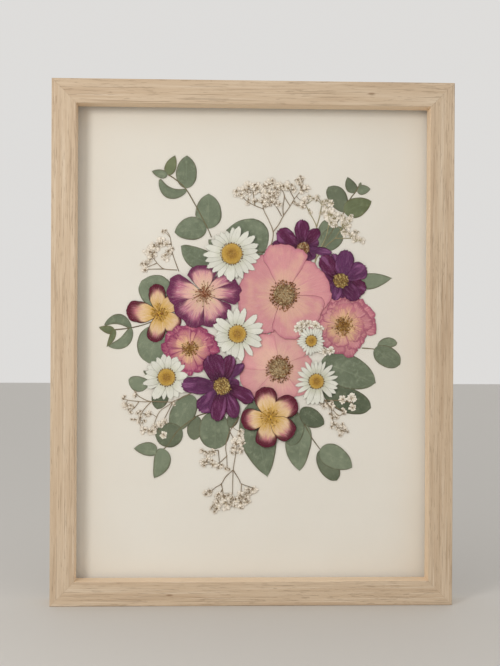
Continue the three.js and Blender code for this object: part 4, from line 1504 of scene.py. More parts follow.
@dataclass(frozen=True)
class Spray:
    """A spray of gypsophila: forking stems that carry small crumpled florets."""

    name: str
    stems: tuple[tuple[Place, ...], ...]
    florets: tuple[Spot, ...]
    seed: int = 1
    rounds: tuple[Spot, ...] = ()
    stem_radius: float = 0.34
    stalk_share: float = 0.7
    stem_finish: str = "spray_stem"
    petals: int = 11
    cluster: int = 1
    spread: float = 1.3
    rings: int = 4
    threads: int = 6
    thread_radius: float = 0.07 * MM
    grain_size: Spot = (0.17, 0.06, 0.17)
    crumple: float = 0.5
    ruffle: float = 0.6
    lobe_relief: float = 0.3
    mate_share: float = 0.25
    thickness: float = 0.03 * MM

    def add_stalk(self, work: Patchwork, spot: Spot, room: Slab, rng: np.random.Generator) -> None:
        """Adds a bent stalk from the nearest place on the stems to a floret's middle.

        Args:
            work: Where it is gathered.
            spot: The floret's place and size.
            room: Depth that it may take.
            rng: Source of its small differences.
        """
        lines = np.vstack([smooth_path(run) for run in self.stems])
        head = np.array(spot[:2])
        foot = lines[np.argmin(np.hypot(*(lines - head).T))]
        run = np.array([foot, (foot + head) / 2 + 0.08 * (head - foot)[::-1] * (1, -1), head])
        add_stem(work, run, room, self.stem_radius * self.stalk_share, 1, rng)

    def floret(self, work: Patchwork, spot: Spot, room: Slab, rng: np.random.Generator) -> None:
        """Adds one floret: notched petals of mixed lengths at all angles, stacked in depth and
        crumpled, with a brown calyx and a few threads.

        Args:
            work: Where it is gathered.
            spot: Its place and size, in millimetres.
            room: Depth that it may take.
            rng: Source of its small differences.
        """
        x, z, size = spot
        radius = size * self.spread
        count = max(6, int(self.petals * min(1.6, radius / 2.8)))
        turns = np.arange(count) * 360.0 / count * rng.choice((1.0, 1.6, 2.6)) + rng.uniform(0, 360)
        face = rng.uniform(0, 360)
        for i, turn in enumerate(turns):
            lean = 0.76 + 0.24 * math.cos(math.radians(turn - face))
            reach = radius * rng.uniform(0.75, 1.15) * lean
            hub = near(x, z, 0.12 * radius, rng)
            patch = FLORET.grid(hub, (turn, reach, reach * rng.uniform(0.55, 0.9)), reach, rng)
            level, tone = room.level(i / count), float(rng.uniform())
            add_loose(work, patch, level, self.crumple, self.thickness, tone, 0)
        self.calyx(work, (x, z, radius), face + 180, room, rng)

    def calyx(self, work: Patchwork, spot: Spot, away: float, room: Slab, rng: np.random.Generator) -> None:
        """Adds a floret's brown parts: a swollen base with pointed lobes, and curled threads
        that end in grains.

        Args:
            work: Where it is gathered.
            spot: The floret's place and radius, in millimetres.
            away: Angle from its middle to the base, in degrees.
            room: Depth that it may take.
            rng: Source of its small differences.
        """
        x, z, radius = spot
        cos, sin = heading(away)
        foot = (x + 0.3 * radius * cos, z + 0.3 * radius * sin)
        grain = np.array([[0.1 * radius, 0.07, 0.1 * radius]]) * MM
        centre = lay(np.array([foot[0]]), np.array([foot[1]]), room.level(0.95))
        work.beads(centre, grain, rng.uniform(0.2, 0.6, 1), 1)
        for turn in away + 180 + rng.uniform(-80, 80, 3):
            patch = LOBE.grid(foot, (turn, 0.4 * radius, 0.15 * radius), radius, rng)
            tone = float(rng.uniform(0.1, 0.7))
            add_loose(work, patch, room.level(1.05), self.lobe_relief, self.thickness, tone, 1)
        angle = np.radians(rng.uniform(0, 360, self.threads))[:, None]
        s = np.linspace(0, 1, 5)[None, :]
        curl = angle + rng.normal(0, 0.9, (self.threads, 1)) * s**2
        run = radius * rng.uniform(0.35, 0.9, (self.threads, 1)) * s
        paths = lay(x + run * np.cos(curl), z + run * np.sin(curl), room.level(1.1) - 0.04 * MM * s)
        tones = rng.uniform(0.0, 0.5, self.threads)
        work.tubes(paths, np.full(paths.shape[:2], self.thread_radius), tones, 4, 0.6, 1)
        work.beads(paths[:, -1], np.full((self.threads, 3), self.grain_size) * MM, tones, 1)

    def round(self, work: Patchwork, spot: Spot, room: Slab, rng: np.random.Generator) -> None:
        """Adds one double floret: rings of small ruffled petals, shorter and higher towards
        its middle.

        Args:
            work: Where it is gathered.
            spot: Its place and radius, in millimetres.
            room: Depth that it may take.
            rng: Source of its small differences.
        """
        x, z, radius = spot
        for ring in range(self.rings):
            count = 9 - ring
            reach = radius * (1.05 - 0.24 * ring)
            for turn in np.arange(count) * 360.0 / count + rng.uniform(0, 360):
                size = reach * rng.uniform(0.8, 1.12)
                petal = (turn + rng.normal(0, 9), size, size * rng.uniform(0.55, 0.8))
                patch = RUFFLED.grid(near(x, z, 0.07 * radius, rng), petal, radius, rng)
                level = room.level((ring + rng.uniform(0, 0.8)) / self.rings)
                add_loose(work, patch, level, self.ruffle, self.thickness, float(rng.uniform()), 2)
        self.calyx(work, (x, z, radius * 0.7), rng.uniform(0, 360), room, rng)

    def build(self, finishes: Finishes) -> None:
        """Builds the spray as one piece.

        Args:
            finishes: Materials by name.
        """
        rng = np.random.default_rng(self.seed)
        room = Slab.of(self.name)
        work = Patchwork()
        for run in self.stems:
            add_stem(work, run, room, self.stem_radius, 1, rng)
        for x, z, size in self.florets:
            for mate in range(1 + self.cluster):
                turn, apart = rng.uniform(0, TURN), (1.2 + 0.8 * size) * min(mate, 1)
                less = 1 - self.mate_share * mate
                spot = (x + apart * math.cos(turn), z + apart * math.sin(turn), size * less)
                self.add_stalk(work, spot, room, rng)
                self.floret(work, spot, room, rng)
        for spot in self.rounds:
            self.add_stalk(work, spot, room, rng)
            self.round(work, spot, room, rng)
        kinds = [finishes[name] for name in ("floret", self.stem_finish, "floret_white")]
        dress(work.build(f"{self.name}_spray", kinds), "spray", self.name)


# ---- The specimens -------------------------------------------------------------------------


def daisy(name: str, petals: tuple[Petal, ...], seed: int) -> Flower:
    """A daisy with one ring of petals round a disc.

    Args:
        name: Start of its pieces' names.
        petals: Angle, length and width of each, lowest first.
        seed: Start of its small differences.

    Returns:
        The flower.
    """
    whorls = (Whorl(DAISY, petals),)
    return Flower(name, whorls, ("daisy_white",), "petal_white", Centre.DISC, "disc_gold", seed=seed)


def blossom(name: str, shape: Strap | Fan, petals: tuple[Petal, ...], finish: str, slot: str, grains: str,
            seed: int, boss: Boss) -> Flower:
    """A flower with one ring of petals round a boss of stamens.

    Args:
        name: Start of its pieces' names.
        shape: What its petals look like.
        petals: Angle, length, and width or half angle of each, lowest first.
        finish: Material of the petals.
        slot: Material slot of the record.
        grains: Material of the stamens.
        seed: Start of its small differences.
        boss: Sizes of the stamens.

    Returns:
        The flower.
    """
    return Flower(name, (Whorl(shape, petals),), (finish,), slot, Centre.STAMENS, grains, boss, seed=seed)


DAISY = Strap(taper=0.5, blunt=0.33, rounding=0.08, teeth=0.026, furrow_depth=0.1, ragged=0.04,
              rows=15, columns=11)
CROWDED = Strap(taper=0.75, blunt=0.36, kept=0.985, teeth=0.008, furrows=3.0, furrow_depth=0.08,
                ragged=0.05, rows=26, columns=15)
POINTED = Strap(taper=0.8, blunt=0.42, teeth=0.018, furrows=3.0, furrow_depth=0.16, ragged=0.07,
                bend=0.02, rows=24, columns=15)
ROSE = Fan(drop=0.16, corner=3.4, neck=1.15, ripple=0.055, columns=45)
HEART = Fan(drop=0.16, corner=3.6, neck=1.08, notch=0.05, ripple=0.03, folds=4.0)
SHORT = Fan(corner=3.0, neck=1.0, ripple=0.05, folds=3.0, rows=16, columns=15)

DUSKY_RING = Whorl(SHORT, (
    (358, 28.4, 19), (50, 27, 17), (105, 26, 20), (165, 24.8, 18), (226, 24, 19), (284, 27.2, 17),
    (336, 21.4, 17), (27, 28.2, 18), (75, 27.2, 20), (136, 24.8, 20), (196, 21, 20), (256, 24.6, 20),
    (311, 23.2, 19),
))
MAGENTA_RING = Whorl(SHORT, (
    (2, 24.6, 17), (56, 21, 20), (122, 21.6, 20), (178, 23.8, 17), (232, 20.8, 19), (294, 21, 20),
    (27, 22, 18), (90, 21, 20), (150, 23.2, 16), (205, 22.4, 17), (262, 22.4, 19), (327, 21, 19),
))

FLOWERS = (
    daisy("daisy_top", (
        (104, 20, 6), (118, 20.5, 6), (133, 21.5, 6), (282, 21, 6), (254, 20, 6), (147, 21, 6),
        (354, 24.4, 6.4), (342, 22.5, 5.6), (325, 24, 5.5), (311, 21.8, 5.6), (294, 23.2, 5.4),
        (268, 23.8, 8), (240.5, 23.3, 5.6), (224, 22.8, 5.6), (210, 24.3, 5.8), (196, 23.4, 5.4),
        (183, 24.5, 5.6), (165, 24, 5.8), (88, 22.6, 5.2), (75, 24.4, 6.6), (54, 23.9, 5.4), (38, 25, 6),
        (20, 24, 5.8), (8, 22.4, 5),
    ), 11),
    daisy("daisy_middle", (
        (246, 20, 8), (212, 19.6, 8), (182, 18.6, 7), (305, 22.8, 4.8), (160, 22, 6.6), (111, 22.3, 5.6),
        (92, 22.5, 6), (74, 23.2, 5.6), (45, 23.5, 6), (22, 23.4, 6), (8, 22.5, 5.6), (346, 21.4, 7),
        (334, 23.2, 6.6), (279, 23.6, 7), (262, 22, 6.6), (229, 20, 8), (195, 19.6, 8), (145, 22.4, 6.6),
    ), 12),
    daisy("daisy_lower_left", (
        (98, 20, 6), (63, 19.5, 7), (34, 18.6, 5.4), (348, 19, 7.6), (300, 19.6, 7), (263, 19.2, 4.4),
        (210, 18.8, 5.4), (179, 19.4, 5.4), (150, 19, 6), (116, 18.8, 5.6), (84, 18.6, 5.2), (49, 17.8, 6),
        (6, 18.2, 7), (323, 20.4, 8), (282, 19.4, 6.5), (240, 21.6, 8), (196, 21, 5.6), (165, 18.6, 5.4),
        (134, 18.6, 6),
    ), 13),
    daisy("daisy_lower_right", (
        (92, 18, 3.2), (66, 18.7, 3.2), (29, 18.2, 3.4), (353, 18.9, 5), (329, 19.6, 4.2), (286, 19.6, 5),
        (260, 20.4, 5.6), (234, 18.8, 3.8), (192, 18.6, 3.6), (154, 18, 4), (120, 19.4, 3.4), (78, 18.2, 3.4),
        (46, 19.6, 4.2), (13, 18.9, 3.6), (342, 19.1, 4.2), (315, 19, 4.4), (272, 20, 6), (249, 21.5, 5.2),
        (211, 18.6, 3.8), (174, 16.6, 3), (138, 17.8, 4.2), (104, 17, 3),
    ), 14),
    daisy("daisy_small", tuple(
        (13.85 * i + 4 * math.sin(7 * i), 11.7 + 1.2 * math.sin(5 * i), 2.7) for i in range(26)
    ), 15),
    blossom("pink_upper", ROSE, (
        (17, 38.8, 42), (180, 39.6, 76), (303, 36.8, 54), (90, 42.6, 31),
    ), "rose_pink", "petal_pink", "stamen_brown", 21,
        Boss(count=210, inner=0.6, outer=1.15, anther=0.5, heap=0.74, styles=170, style=0.56, seat=0.8)),
    blossom("pink_lower", ROSE, (
        (72, 32, 46), (203, 34, 44), (338, 29.5, 48), (140, 33, 42), (268, 28, 44),
    ), "rose_pale", "petal_pink", "stamen_brown", 22,
        Boss(count=180, inner=0.62, outer=1.18, anther=0.48, heap=0.76, styles=150, style=0.56, seat=0.9)),
    blossom("purple_upper", POINTED, (
        (190, 18, 9), (225, 17, 10), (262, 16, 10), (324, 13.2, 8), (28, 15, 8), (352, 25, 7), (172, 26.6, 9),
        (298, 12.8, 7.6), (52, 21.6, 10), (146, 26.4, 15), (93, 24.8, 12),
    ), "petal_violet", "petal_purple", "stamen_brown", 31,
        Boss(count=60, inner=0.55, outer=1.12, anther=0.42, heap=0.95, styles=70, style=0.5)),
    blossom("purple_right", POINTED, (
        (204, 13, 11), (276, 14.8, 9.5), (157, 17, 11), (304, 18.6, 9.5), (107, 24, 9), (340, 23, 15),
        (252, 17.6, 9), (130, 26.6, 13.6), (29, 24.6, 15.4), (316, 22, 13), (80, 26.6, 15),
    ), "petal_violet", "petal_purple", "stamen_ochre", 32,
        Boss(count=80, inner=0.55, outer=1.15, anther=0.46, heap=0.95, styles=90, style=0.52)),
    blossom("purple_lower", POINTED, (
        (14, 15, 9), (47, 26.4, 8), (75, 27.4, 12), (228, 28.6, 16.6), (294, 29.4, 11.6), (179, 34.4, 14.6),
        (336, 29.4, 12.4), (244, 23, 7), (262, 30, 13.6), (112, 28.4, 18.6),
    ), "petal_violet", "petal_purple", "stamen_ochre", 33,
        Boss(count=90, inner=0.55, outer=1.15, anther=0.46, heap=0.97, styles=110, style=0.52)),
    Flower("dusky", (
        DUSKY_RING,
        DUSKY_RING.shrunk(0.82, 13.0, widen=1.25),
        DUSKY_RING.shrunk(0.66, 4.0, widen=1.5, slot=1, take=2),
        DUSKY_RING.shrunk(0.5, 31.0, widen=1.6, slot=1, take=2),
    ), ("petal_dusky", "petal_dusky_inner"), "petal_dusky", Centre.STAMENS, "stamen_gold", seed=41,
        boss=Boss(count=120, inner=0.25, outer=1.25, anther=0.46, heap=0.4, styles=40, style=0.46)),
    Flower("magenta", (
        MAGENTA_RING,
        MAGENTA_RING.shrunk(0.8, 15.0, widen=1.25),
        MAGENTA_RING.shrunk(0.62, 5.0, widen=1.5, slot=1, take=2),
    ), ("petal_magenta", "petal_magenta_inner"), "petal_magenta", Centre.STAMENS, "stamen_gold", seed=42,
        boss=Boss(count=100, inner=0.25, outer=1.25, anther=0.46, heap=0.45, styles=40, style=0.46)),
    blossom("edged", HEART, (
        (299, 28.8, 38), (234, 29.8, 36), (29, 29.5, 25), (1, 31, 21), (95, 24.2, 37), (171, 31, 30),
    ), "petal_edged", "petal_edged", "stamen_rust", 43,
        Boss(count=100, inner=0.25, outer=2.0, anther=0.4, filament=0.12, heap=0.4, styles=24, style=0.4)),
    blossom("bicolour_left", CROWDED, (
        (37, 21, 15.5), (98, 24.8, 14.2), (176, 27.8, 18.6), (321, 21, 16.6), (260, 24.8, 15),
    ), "petal_cream", "petal_cream", "stamen_yellow", 44,
        Boss(count=70, inner=0.9, outer=2.6, anther=0.44, filament=0.09, heap=0.8, styles=30, style=0.42,
             seat=0.45)),
    blossom("bicolour_lower", CROWDED, (
        (103, 26.2, 18.6), (187, 24.6, 18), (261, 25.6, 18.6), (35, 26.6, 19.4), (322, 25, 19.4),
    ), "petal_cream", "petal_cream", "stamen_yellow", 45,
        Boss(count=80, inner=0.9, outer=2.9, anther=0.42, filament=0.09, heap=0.7, styles=24, style=0.36,
             seat=0.45)),
)

GREY, DEEP, OLIVE = LeafKind.GREY, LeafKind.DEEP, LeafKind.OLIVE

# A leaf is its base, tip, half widths to the left and right, bow, kind, taper and blunt.
SPRIGS = (
    Sprig("eucalyptus_top_left", (
        Leaf((-56, 128.7), (-55.2, 156), 8.6, 8.8),
        Leaf((-71, 139.8), (-65, 156), 5, 4.6, 0, OLIVE, 0.5, 0.9),
        Leaf((-71.5, 139), (-84.5, 142.6), 3.7, 3.6, 0, GREY, 0.5, 0.9),
        Leaf((-55.4, 126.3), (-78.5, 135), 4.7, 4.7, 6.5, GREY, 0.32, 0.32),
        Leaf((-37.5, 95.2), (-37, 124.4), 10.8, 11.2), Leaf((-38.7, 95), (-65.3, 92), 8, 11.3),
    ), (((-71, 140), (-64.5, 135.8), (-56, 128), (-47, 113), (-38, 96), (-34.5, 88)),), 1),
    Sprig("eucalyptus_top", (
        Leaf((10, 76), (-22.3, 94.2), 10, 21), Leaf((-29, 66), (-60, 80.6), 9.2, 9.2, 3.5),
        Leaf((-25, 74), (-37, 86.2), 4, 4),
    ), (((10, 76), (-25, 74), (-29, 66)),), 2),
    Sprig("eucalyptus_top_right", (
        Leaf((86, 126.4), (79, 139.4), 4.8, 4.7, 1.1, DEEP, 0.5, 0.85),
        Leaf((87, 128.3), (98.6, 129.6), 4.2, 4.3, 0, GREY, 0.5, 0.85),
        Leaf((76.5, 110), (63, 131), 6, 9.6, 0, DEEP, 0.6, 0.5),
        Leaf((76.5, 110.3), (99.6, 119.4), 8, 8.6, 0, OLIVE, 0.5, 0.8),
        Leaf((57.5, 79.5), (60, 103.2), 5.2, 8.5), Leaf((59.5, 79), (75.5, 97.3), 9.5, 8),
        Leaf((89, 131), (90.5, 135), 1.2, 1.2),
    ), (((90, 134), (86, 127), (81.5, 121), (76.5, 110), (70, 100), (57.5, 79), (52, 68)),), 3),
    Sprig("leaf_right", (Leaf((86, 51.2), (117.4, 55), 6.3, 7.2, 0, GREY, 0.6, 1.0),), (), 4),
    Sprig("eucalyptus_left", (
        Leaf((-72, 31), (-92.5, 51.5), 11, 16, 0, GREY, 0.5, 0.5),
        Leaf((-78, 14), (-86, -17.4), 12, 14, 0, GREY, 0.5, 0.52),
        Leaf((-100.5, 12.3), (-123.2, 15), 4.3, 4.5, -5.7, GREY, 0.4, 0.45),
        Leaf((-100.5, 12), (-119.5, -3.6), 4.8, 4.6, 4.7, GREY, 0.4, 0.5),
        Leaf((-114.5, 9.5), (-127.8, 12.6), 3.6, 3.2, 0, OLIVE, 0.5, 0.9),
        Leaf((-114.5, 11), (-121.2, -4), 2.6, 2.6, 0.8, OLIVE, 0.5, 0.9),
    ), (((-114.5, 10.5), (-101, 12.2), (-87, 16), (-74, 22)), ((-72, 31), (-74, 22), (-78, 14))), 5),
    Sprig("eucalyptus_lower_left", (
        Leaf((-86, -35), (-103, -31), 6.5, 6.4, 1.5, GREY, 0.5, 0.55),
        Leaf((-84, -29), (-90.7, -23.3), 1.6, 1.8, 0, DEEP),
        Leaf((-75.5, -38), (-79, -55.6), 7.5, 6.5, 0, DEEP, 0.5, 0.6),
    ), (((-86, -35), (-75, -34), (-75.5, -38)), ((-84, -29), (-75, -34))), 6),
    Sprig("eucalyptus_bottom_left", (
        Leaf((-49, -44), (-65.5, -73.6), 9.5, 10.5, 0, GREY, 0.5, 0.55),
        Leaf((-57.5, -75), (-80.5, -77.5), 11, 9.5, 0, DEEP, 0.5, 0.5),
        Leaf((-78.8, -91), (-98.4, -88.2), 4.4, 7.2, 0, GREY, 0.45, 0.85),
        Leaf((-74, -88.3), (-81.2, -113), 7.2, 7.1, 2.4, GREY, 0.45, 0.8),
    ), (((-46.5, -61.5), (-61.5, -73), (-71, -86.5), (-78.8, -91)),), 7),
    Sprig("eucalyptus_bottom", (
        Leaf((-46, -61), (-48.5, -81.2), 6, 6.8, 0, DEEP, 0.5, 0.5),
        Leaf((-31, -57), (-30.5, -88.8), 12.5, 13.5, 0, GREY, 0.5, 0.48),
        Leaf((-14, -57), (-18.5, -71), 5, 4.5, 0, DEEP, 0.5, 0.6),
    ), (((-46, -61), (-31, -57), (-14, -57)),), 8),
    Sprig("eucalyptus_bottom_right", (
        Leaf((5, -47), (13.2, -112), 15, 16.5, -2.5, GREY, 0.5, 0.8),
        Leaf((44.5, -68), (40, -106.8), 8.5, 13, -1.5, GREY, 0.5, 0.72),
        Leaf((36, -57), (32, -86), 10, 7.5, 0, GREY, 0.5, 0.5),
        Leaf((41, -55), (60.6, -67.8), 6.3, 9.2, 0, DEEP, 0.5, 0.6),
        Leaf((57, -89.5), (71.5, -114.8), 8, 8.3, 0, DEEP, 0.5, 0.5),
        Leaf((57.5, -88.5), (84.4, -104), 10, 9.6, 0, GREY, 0.48, 0.72),
    ), (((5, -47), (22, -50), (36, -57), (44.5, -69), (50.5, -79.5), (57.5, -89)),), 9),
    Sprig("eucalyptus_lower_right", (
        Leaf((60, -38), (100, -54), 9.5, 12, 0, DEEP, 0.5, 0.5),
        Leaf((58, -15), (103.8, -33), 14.3, 13.8, 0, GREY, 0.5, 0.62),
    ), (((58, -15), (56, -26), (60, -38)),), 10),
    Sprig("eucalyptus_right", (
        Leaf((105, -3), (121.8, 0.8), 4.8, 4.5, 1.5, GREY, 0.5, 0.5),
        Leaf((102.5, -4.5), (124.3, -17.5), 8.6, 8.8, 0, GREY, 0.5, 0.52),
    ), (((92, -3.8), (99, -4.3), (105, -5)),), 11),
)

# A floret is its place and size, and a round one its place and radius, in millimetres.
SPRAYS = (
    Spray("gypsophila_upper_left", (
        ((-61.5, 59.5), (-64, 66), (-67, 75), (-68, 83), (-68.8, 87.5)), ((-73.5, 61.3), (-89.5, 61)),
        ((-63, 60.5), (-73.5, 61.3), (-78, 64.5), (-81, 68), (-84, 72)), ((-80, 66), (-87, 63)),
        ((-68, 82), (-79, 81.5), (-86, 77.3)),
    ), (
        (-89, 66, 2.6), (-89.5, 61, 3), (-73, 72, 3.8), (-84, 72, 3.4), (-82, 80, 4.6), (-77, 83, 3.8),
        (-72, 82, 3), (-75, 92.5, 1.8), (-70, 76, 3), (-86, 76, 3.8),
    ), 1),
    Spray("gypsophila_top", (
        ((15, 80), (17, 92), (13, 103), (9, 111), (8.5, 117), (9, 127), (8.7, 131)),
        ((17, 93), (21.5, 99), (25.5, 106.5), (31, 114.5), (34.5, 120.5), (40, 127.5)),
        ((25.5, 106.5), (25, 113), (26, 124), (22, 130.5)), ((24, 106), (20, 113), (16, 117), (8.5, 118)),
        ((34.5, 120.5), (31, 127), (30, 130)), ((31, 114.5), (27, 121), (26, 124)),
        ((9, 112), (3.3, 114), (-4, 117.5), (-9.5, 122), (-15, 123)), ((1.5, 115), (0.4, 128), (7.5, 124.5)),
    ), (
        (8, 118, 3.2), (12, 120, 3.2), (16, 118, 2.6), (13, 125, 4), (18, 123, 3.2), (20, 125, 3.2),
        (23, 131, 3.2), (18, 130, 3.2), (29, 130, 3.6), (32.5, 131.5, 3), (13, 131.5, 4.2), (9.5, 131, 2.2),
        (38, 136, 3.2), (41, 137.5, 1.8), (44.5, 129, 3), (43, 118, 3.6), (36.5, 115.5, 1.8), (22, 116, 2.6),
        (-13.5, 126, 3.8), (-7.5, 128, 3.4), (-4, 131, 3.2), (1, 131, 3.4), (4, 130, 3.2), (-4, 117, 2.2),
        (1, 118.5, 2.2),
    ), 2),
    Spray("gypsophila_top_right", (
        ((50, 63), (52, 67), (56.5, 79), (61.5, 90), (64, 102)), ((54, 72), (62, 82), (69, 88), (74.5, 97)),
        ((52, 67), (53.8, 80), (53.3, 97), (47.5, 109), (44, 116)), ((69, 88), (84, 88)),
        ((53.3, 97), (56, 107), (57.5, 116)), ((64, 102), (63, 110), (65, 116)),
    ), (
        (66, 101, 3.2), (77, 93, 3), (64, 108, 5.4), (68, 106, 4.2), (58.5, 118, 2.2), (62, 113, 3.2),
        (66, 117, 2.8), (57, 109, 2.2), (79, 99, 3.2), (81, 103, 3.2), (77, 104, 3.4), (83, 90, 2.8),
        (88, 93.5, 1.6), (86, 87, 4), (47.5, 122.5, 2.4), (54, 122.5, 2.2), (48, 109, 1.8),
    ), 3, stem_radius=0.42, stem_finish="spray_stem_pale"),
    Spray("gypsophila_lower_left", (
        ((-50, -41.5), (-56, -44.5), (-62, -47.3), (-66, -49.5), (-71, -53), (-77, -57.5), (-81, -66.5),
         (-80, -70)),
        ((-66, -49.5), (-74, -65.5)), ((-66, -49.5), (-84, -49), (-90, -49.3), (-101, -48.3), (-108, -46.8)),
        ((-98, -40), (-94.5, -44.5), (-88, -48), (-84, -49)), ((-84, -49), (-91, -57), (-94.5, -65)),
        ((-94, -48.8), (-97.5, -54)),
    ), (
        (-104.5, -52.5, 3), (-101, -58, 1.8), (-98, -64, 1.4), (-94, -65, 2.2), (-88, -60, 2.6),
        (-93, -57.5, 2), (-107, -46.7, 1.6), (-89.5, -65, 1.6), (-89.5, -72.5, 3.4), (-83, -73.5, 3.8),
        (-97.5, -44.5, 2), (-76, -68.5, 3.4), (-64.5, -51.5, 1.6),
    ), 4, rounds=((-73.5, -77, 3.4),)),
    Spray("gypsophila_bottom", (
        ((-10.5, -62), (-18.5, -74), (-21.8, -86), (-21, -94), (-20.5, -104)),
        ((-18.5, -74), (-13, -86), (-15.5, -106), (-16, -128)),
        ((-15.5, -106), (-21.5, -111.5), (-25.3, -117.5), (-30, -120.5), (-33.5, -123.5)),
        ((-15.5, -106), (-10.5, -114), (-8.5, -117.5), (1, -121)), ((-8.5, -117.5), (-9, -128)),
        ((-25.3, -117.5), (-23.5, -127)), ((-20.5, -94), (-27, -100), (-32, -101.5)),
        ((-28, -89.5), (-27, -100)),
        ((-28, -89.5), (-38, -91)), ((-24.5, -122), (-28, -130), (-30, -136)),
    ), (
        (-38, -91.5, 3), (-32, -91.5, 3), (-40, -99.5, 3), (-40, -102, 2.4), (-32, -101.5, 3),
        (-27.5, -104, 2.4), (-21.5, -105, 2), (-15, -88, 3), (-10, -88, 2.6), (-13, -83, 4.6),
        (-10, -78, 3.6), (-35, -124, 3), (-38, -126, 2.6), (-27, -127, 3.8), (-24, -128, 3.8),
        (-28.5, -133, 3), (-32, -136, 2), (-29, -137.5, 3), (-22, -134, 4.6), (-18, -134, 3.8),
        (-16.5, -130, 3.4), (-13, -131, 3.8), (-9.5, -126.5, 3), (-9.5, -133.5, 3.8), (-5, -129.5, 3.4),
        (-4, -132, 3.8), (-9, -137, 2.4), (1.5, -122.5, 3.4), (-4, -126, 3.4),
    ), 5),
    Spray("gypsophila_lower_right", (
        ((60, -47), (66, -54), (67.2, -62), (68.5, -67)), ((61, -47.5), (76.5, -57.5)),
        ((61, -47.5), (76, -48), (84, -50), (84.5, -53.5)), ((68.5, -67), (75, -73)),
        ((64, -51), (72, -60), (77, -58.5)),
    ), (
        (66, -53, 3), (63, -51, 2.6), (77, -58.5, 2.2), (68.5, -67.5, 2.2), (76, -68, 2.4), (75, -73.5, 2.8),
        (67, -60, 1.6), (60.5, -52.5, 2.4), (71, -62, 2.6), (72, -71, 2.4), (78, -72, 2.2),
    ), 6, rounds=((75.8, -47, 3.7), (83.5, -46, 4.4), (84.5, -53.5, 3.5))),
    Spray("white_florets", (((41, 13), (49, 6), (60, -4), (65, -6.5)), ((49, 6), (52, 14))), (
        (45, 15.5, 2.2), (42, 10.5, 2), (56.5, -1, 2),
    ), 7, rounds=(
        (37.5, 12.5, 3.4), (41, 16, 4), (41.5, 10, 3.8), (47, 16.5, 3.6), (52.5, 15, 4.2), (56.5, 12, 3.6),
        (56.5, -4.5, 3.8), (60.5, -7, 3.2), (65.5, -6, 3.6),
    )),
)

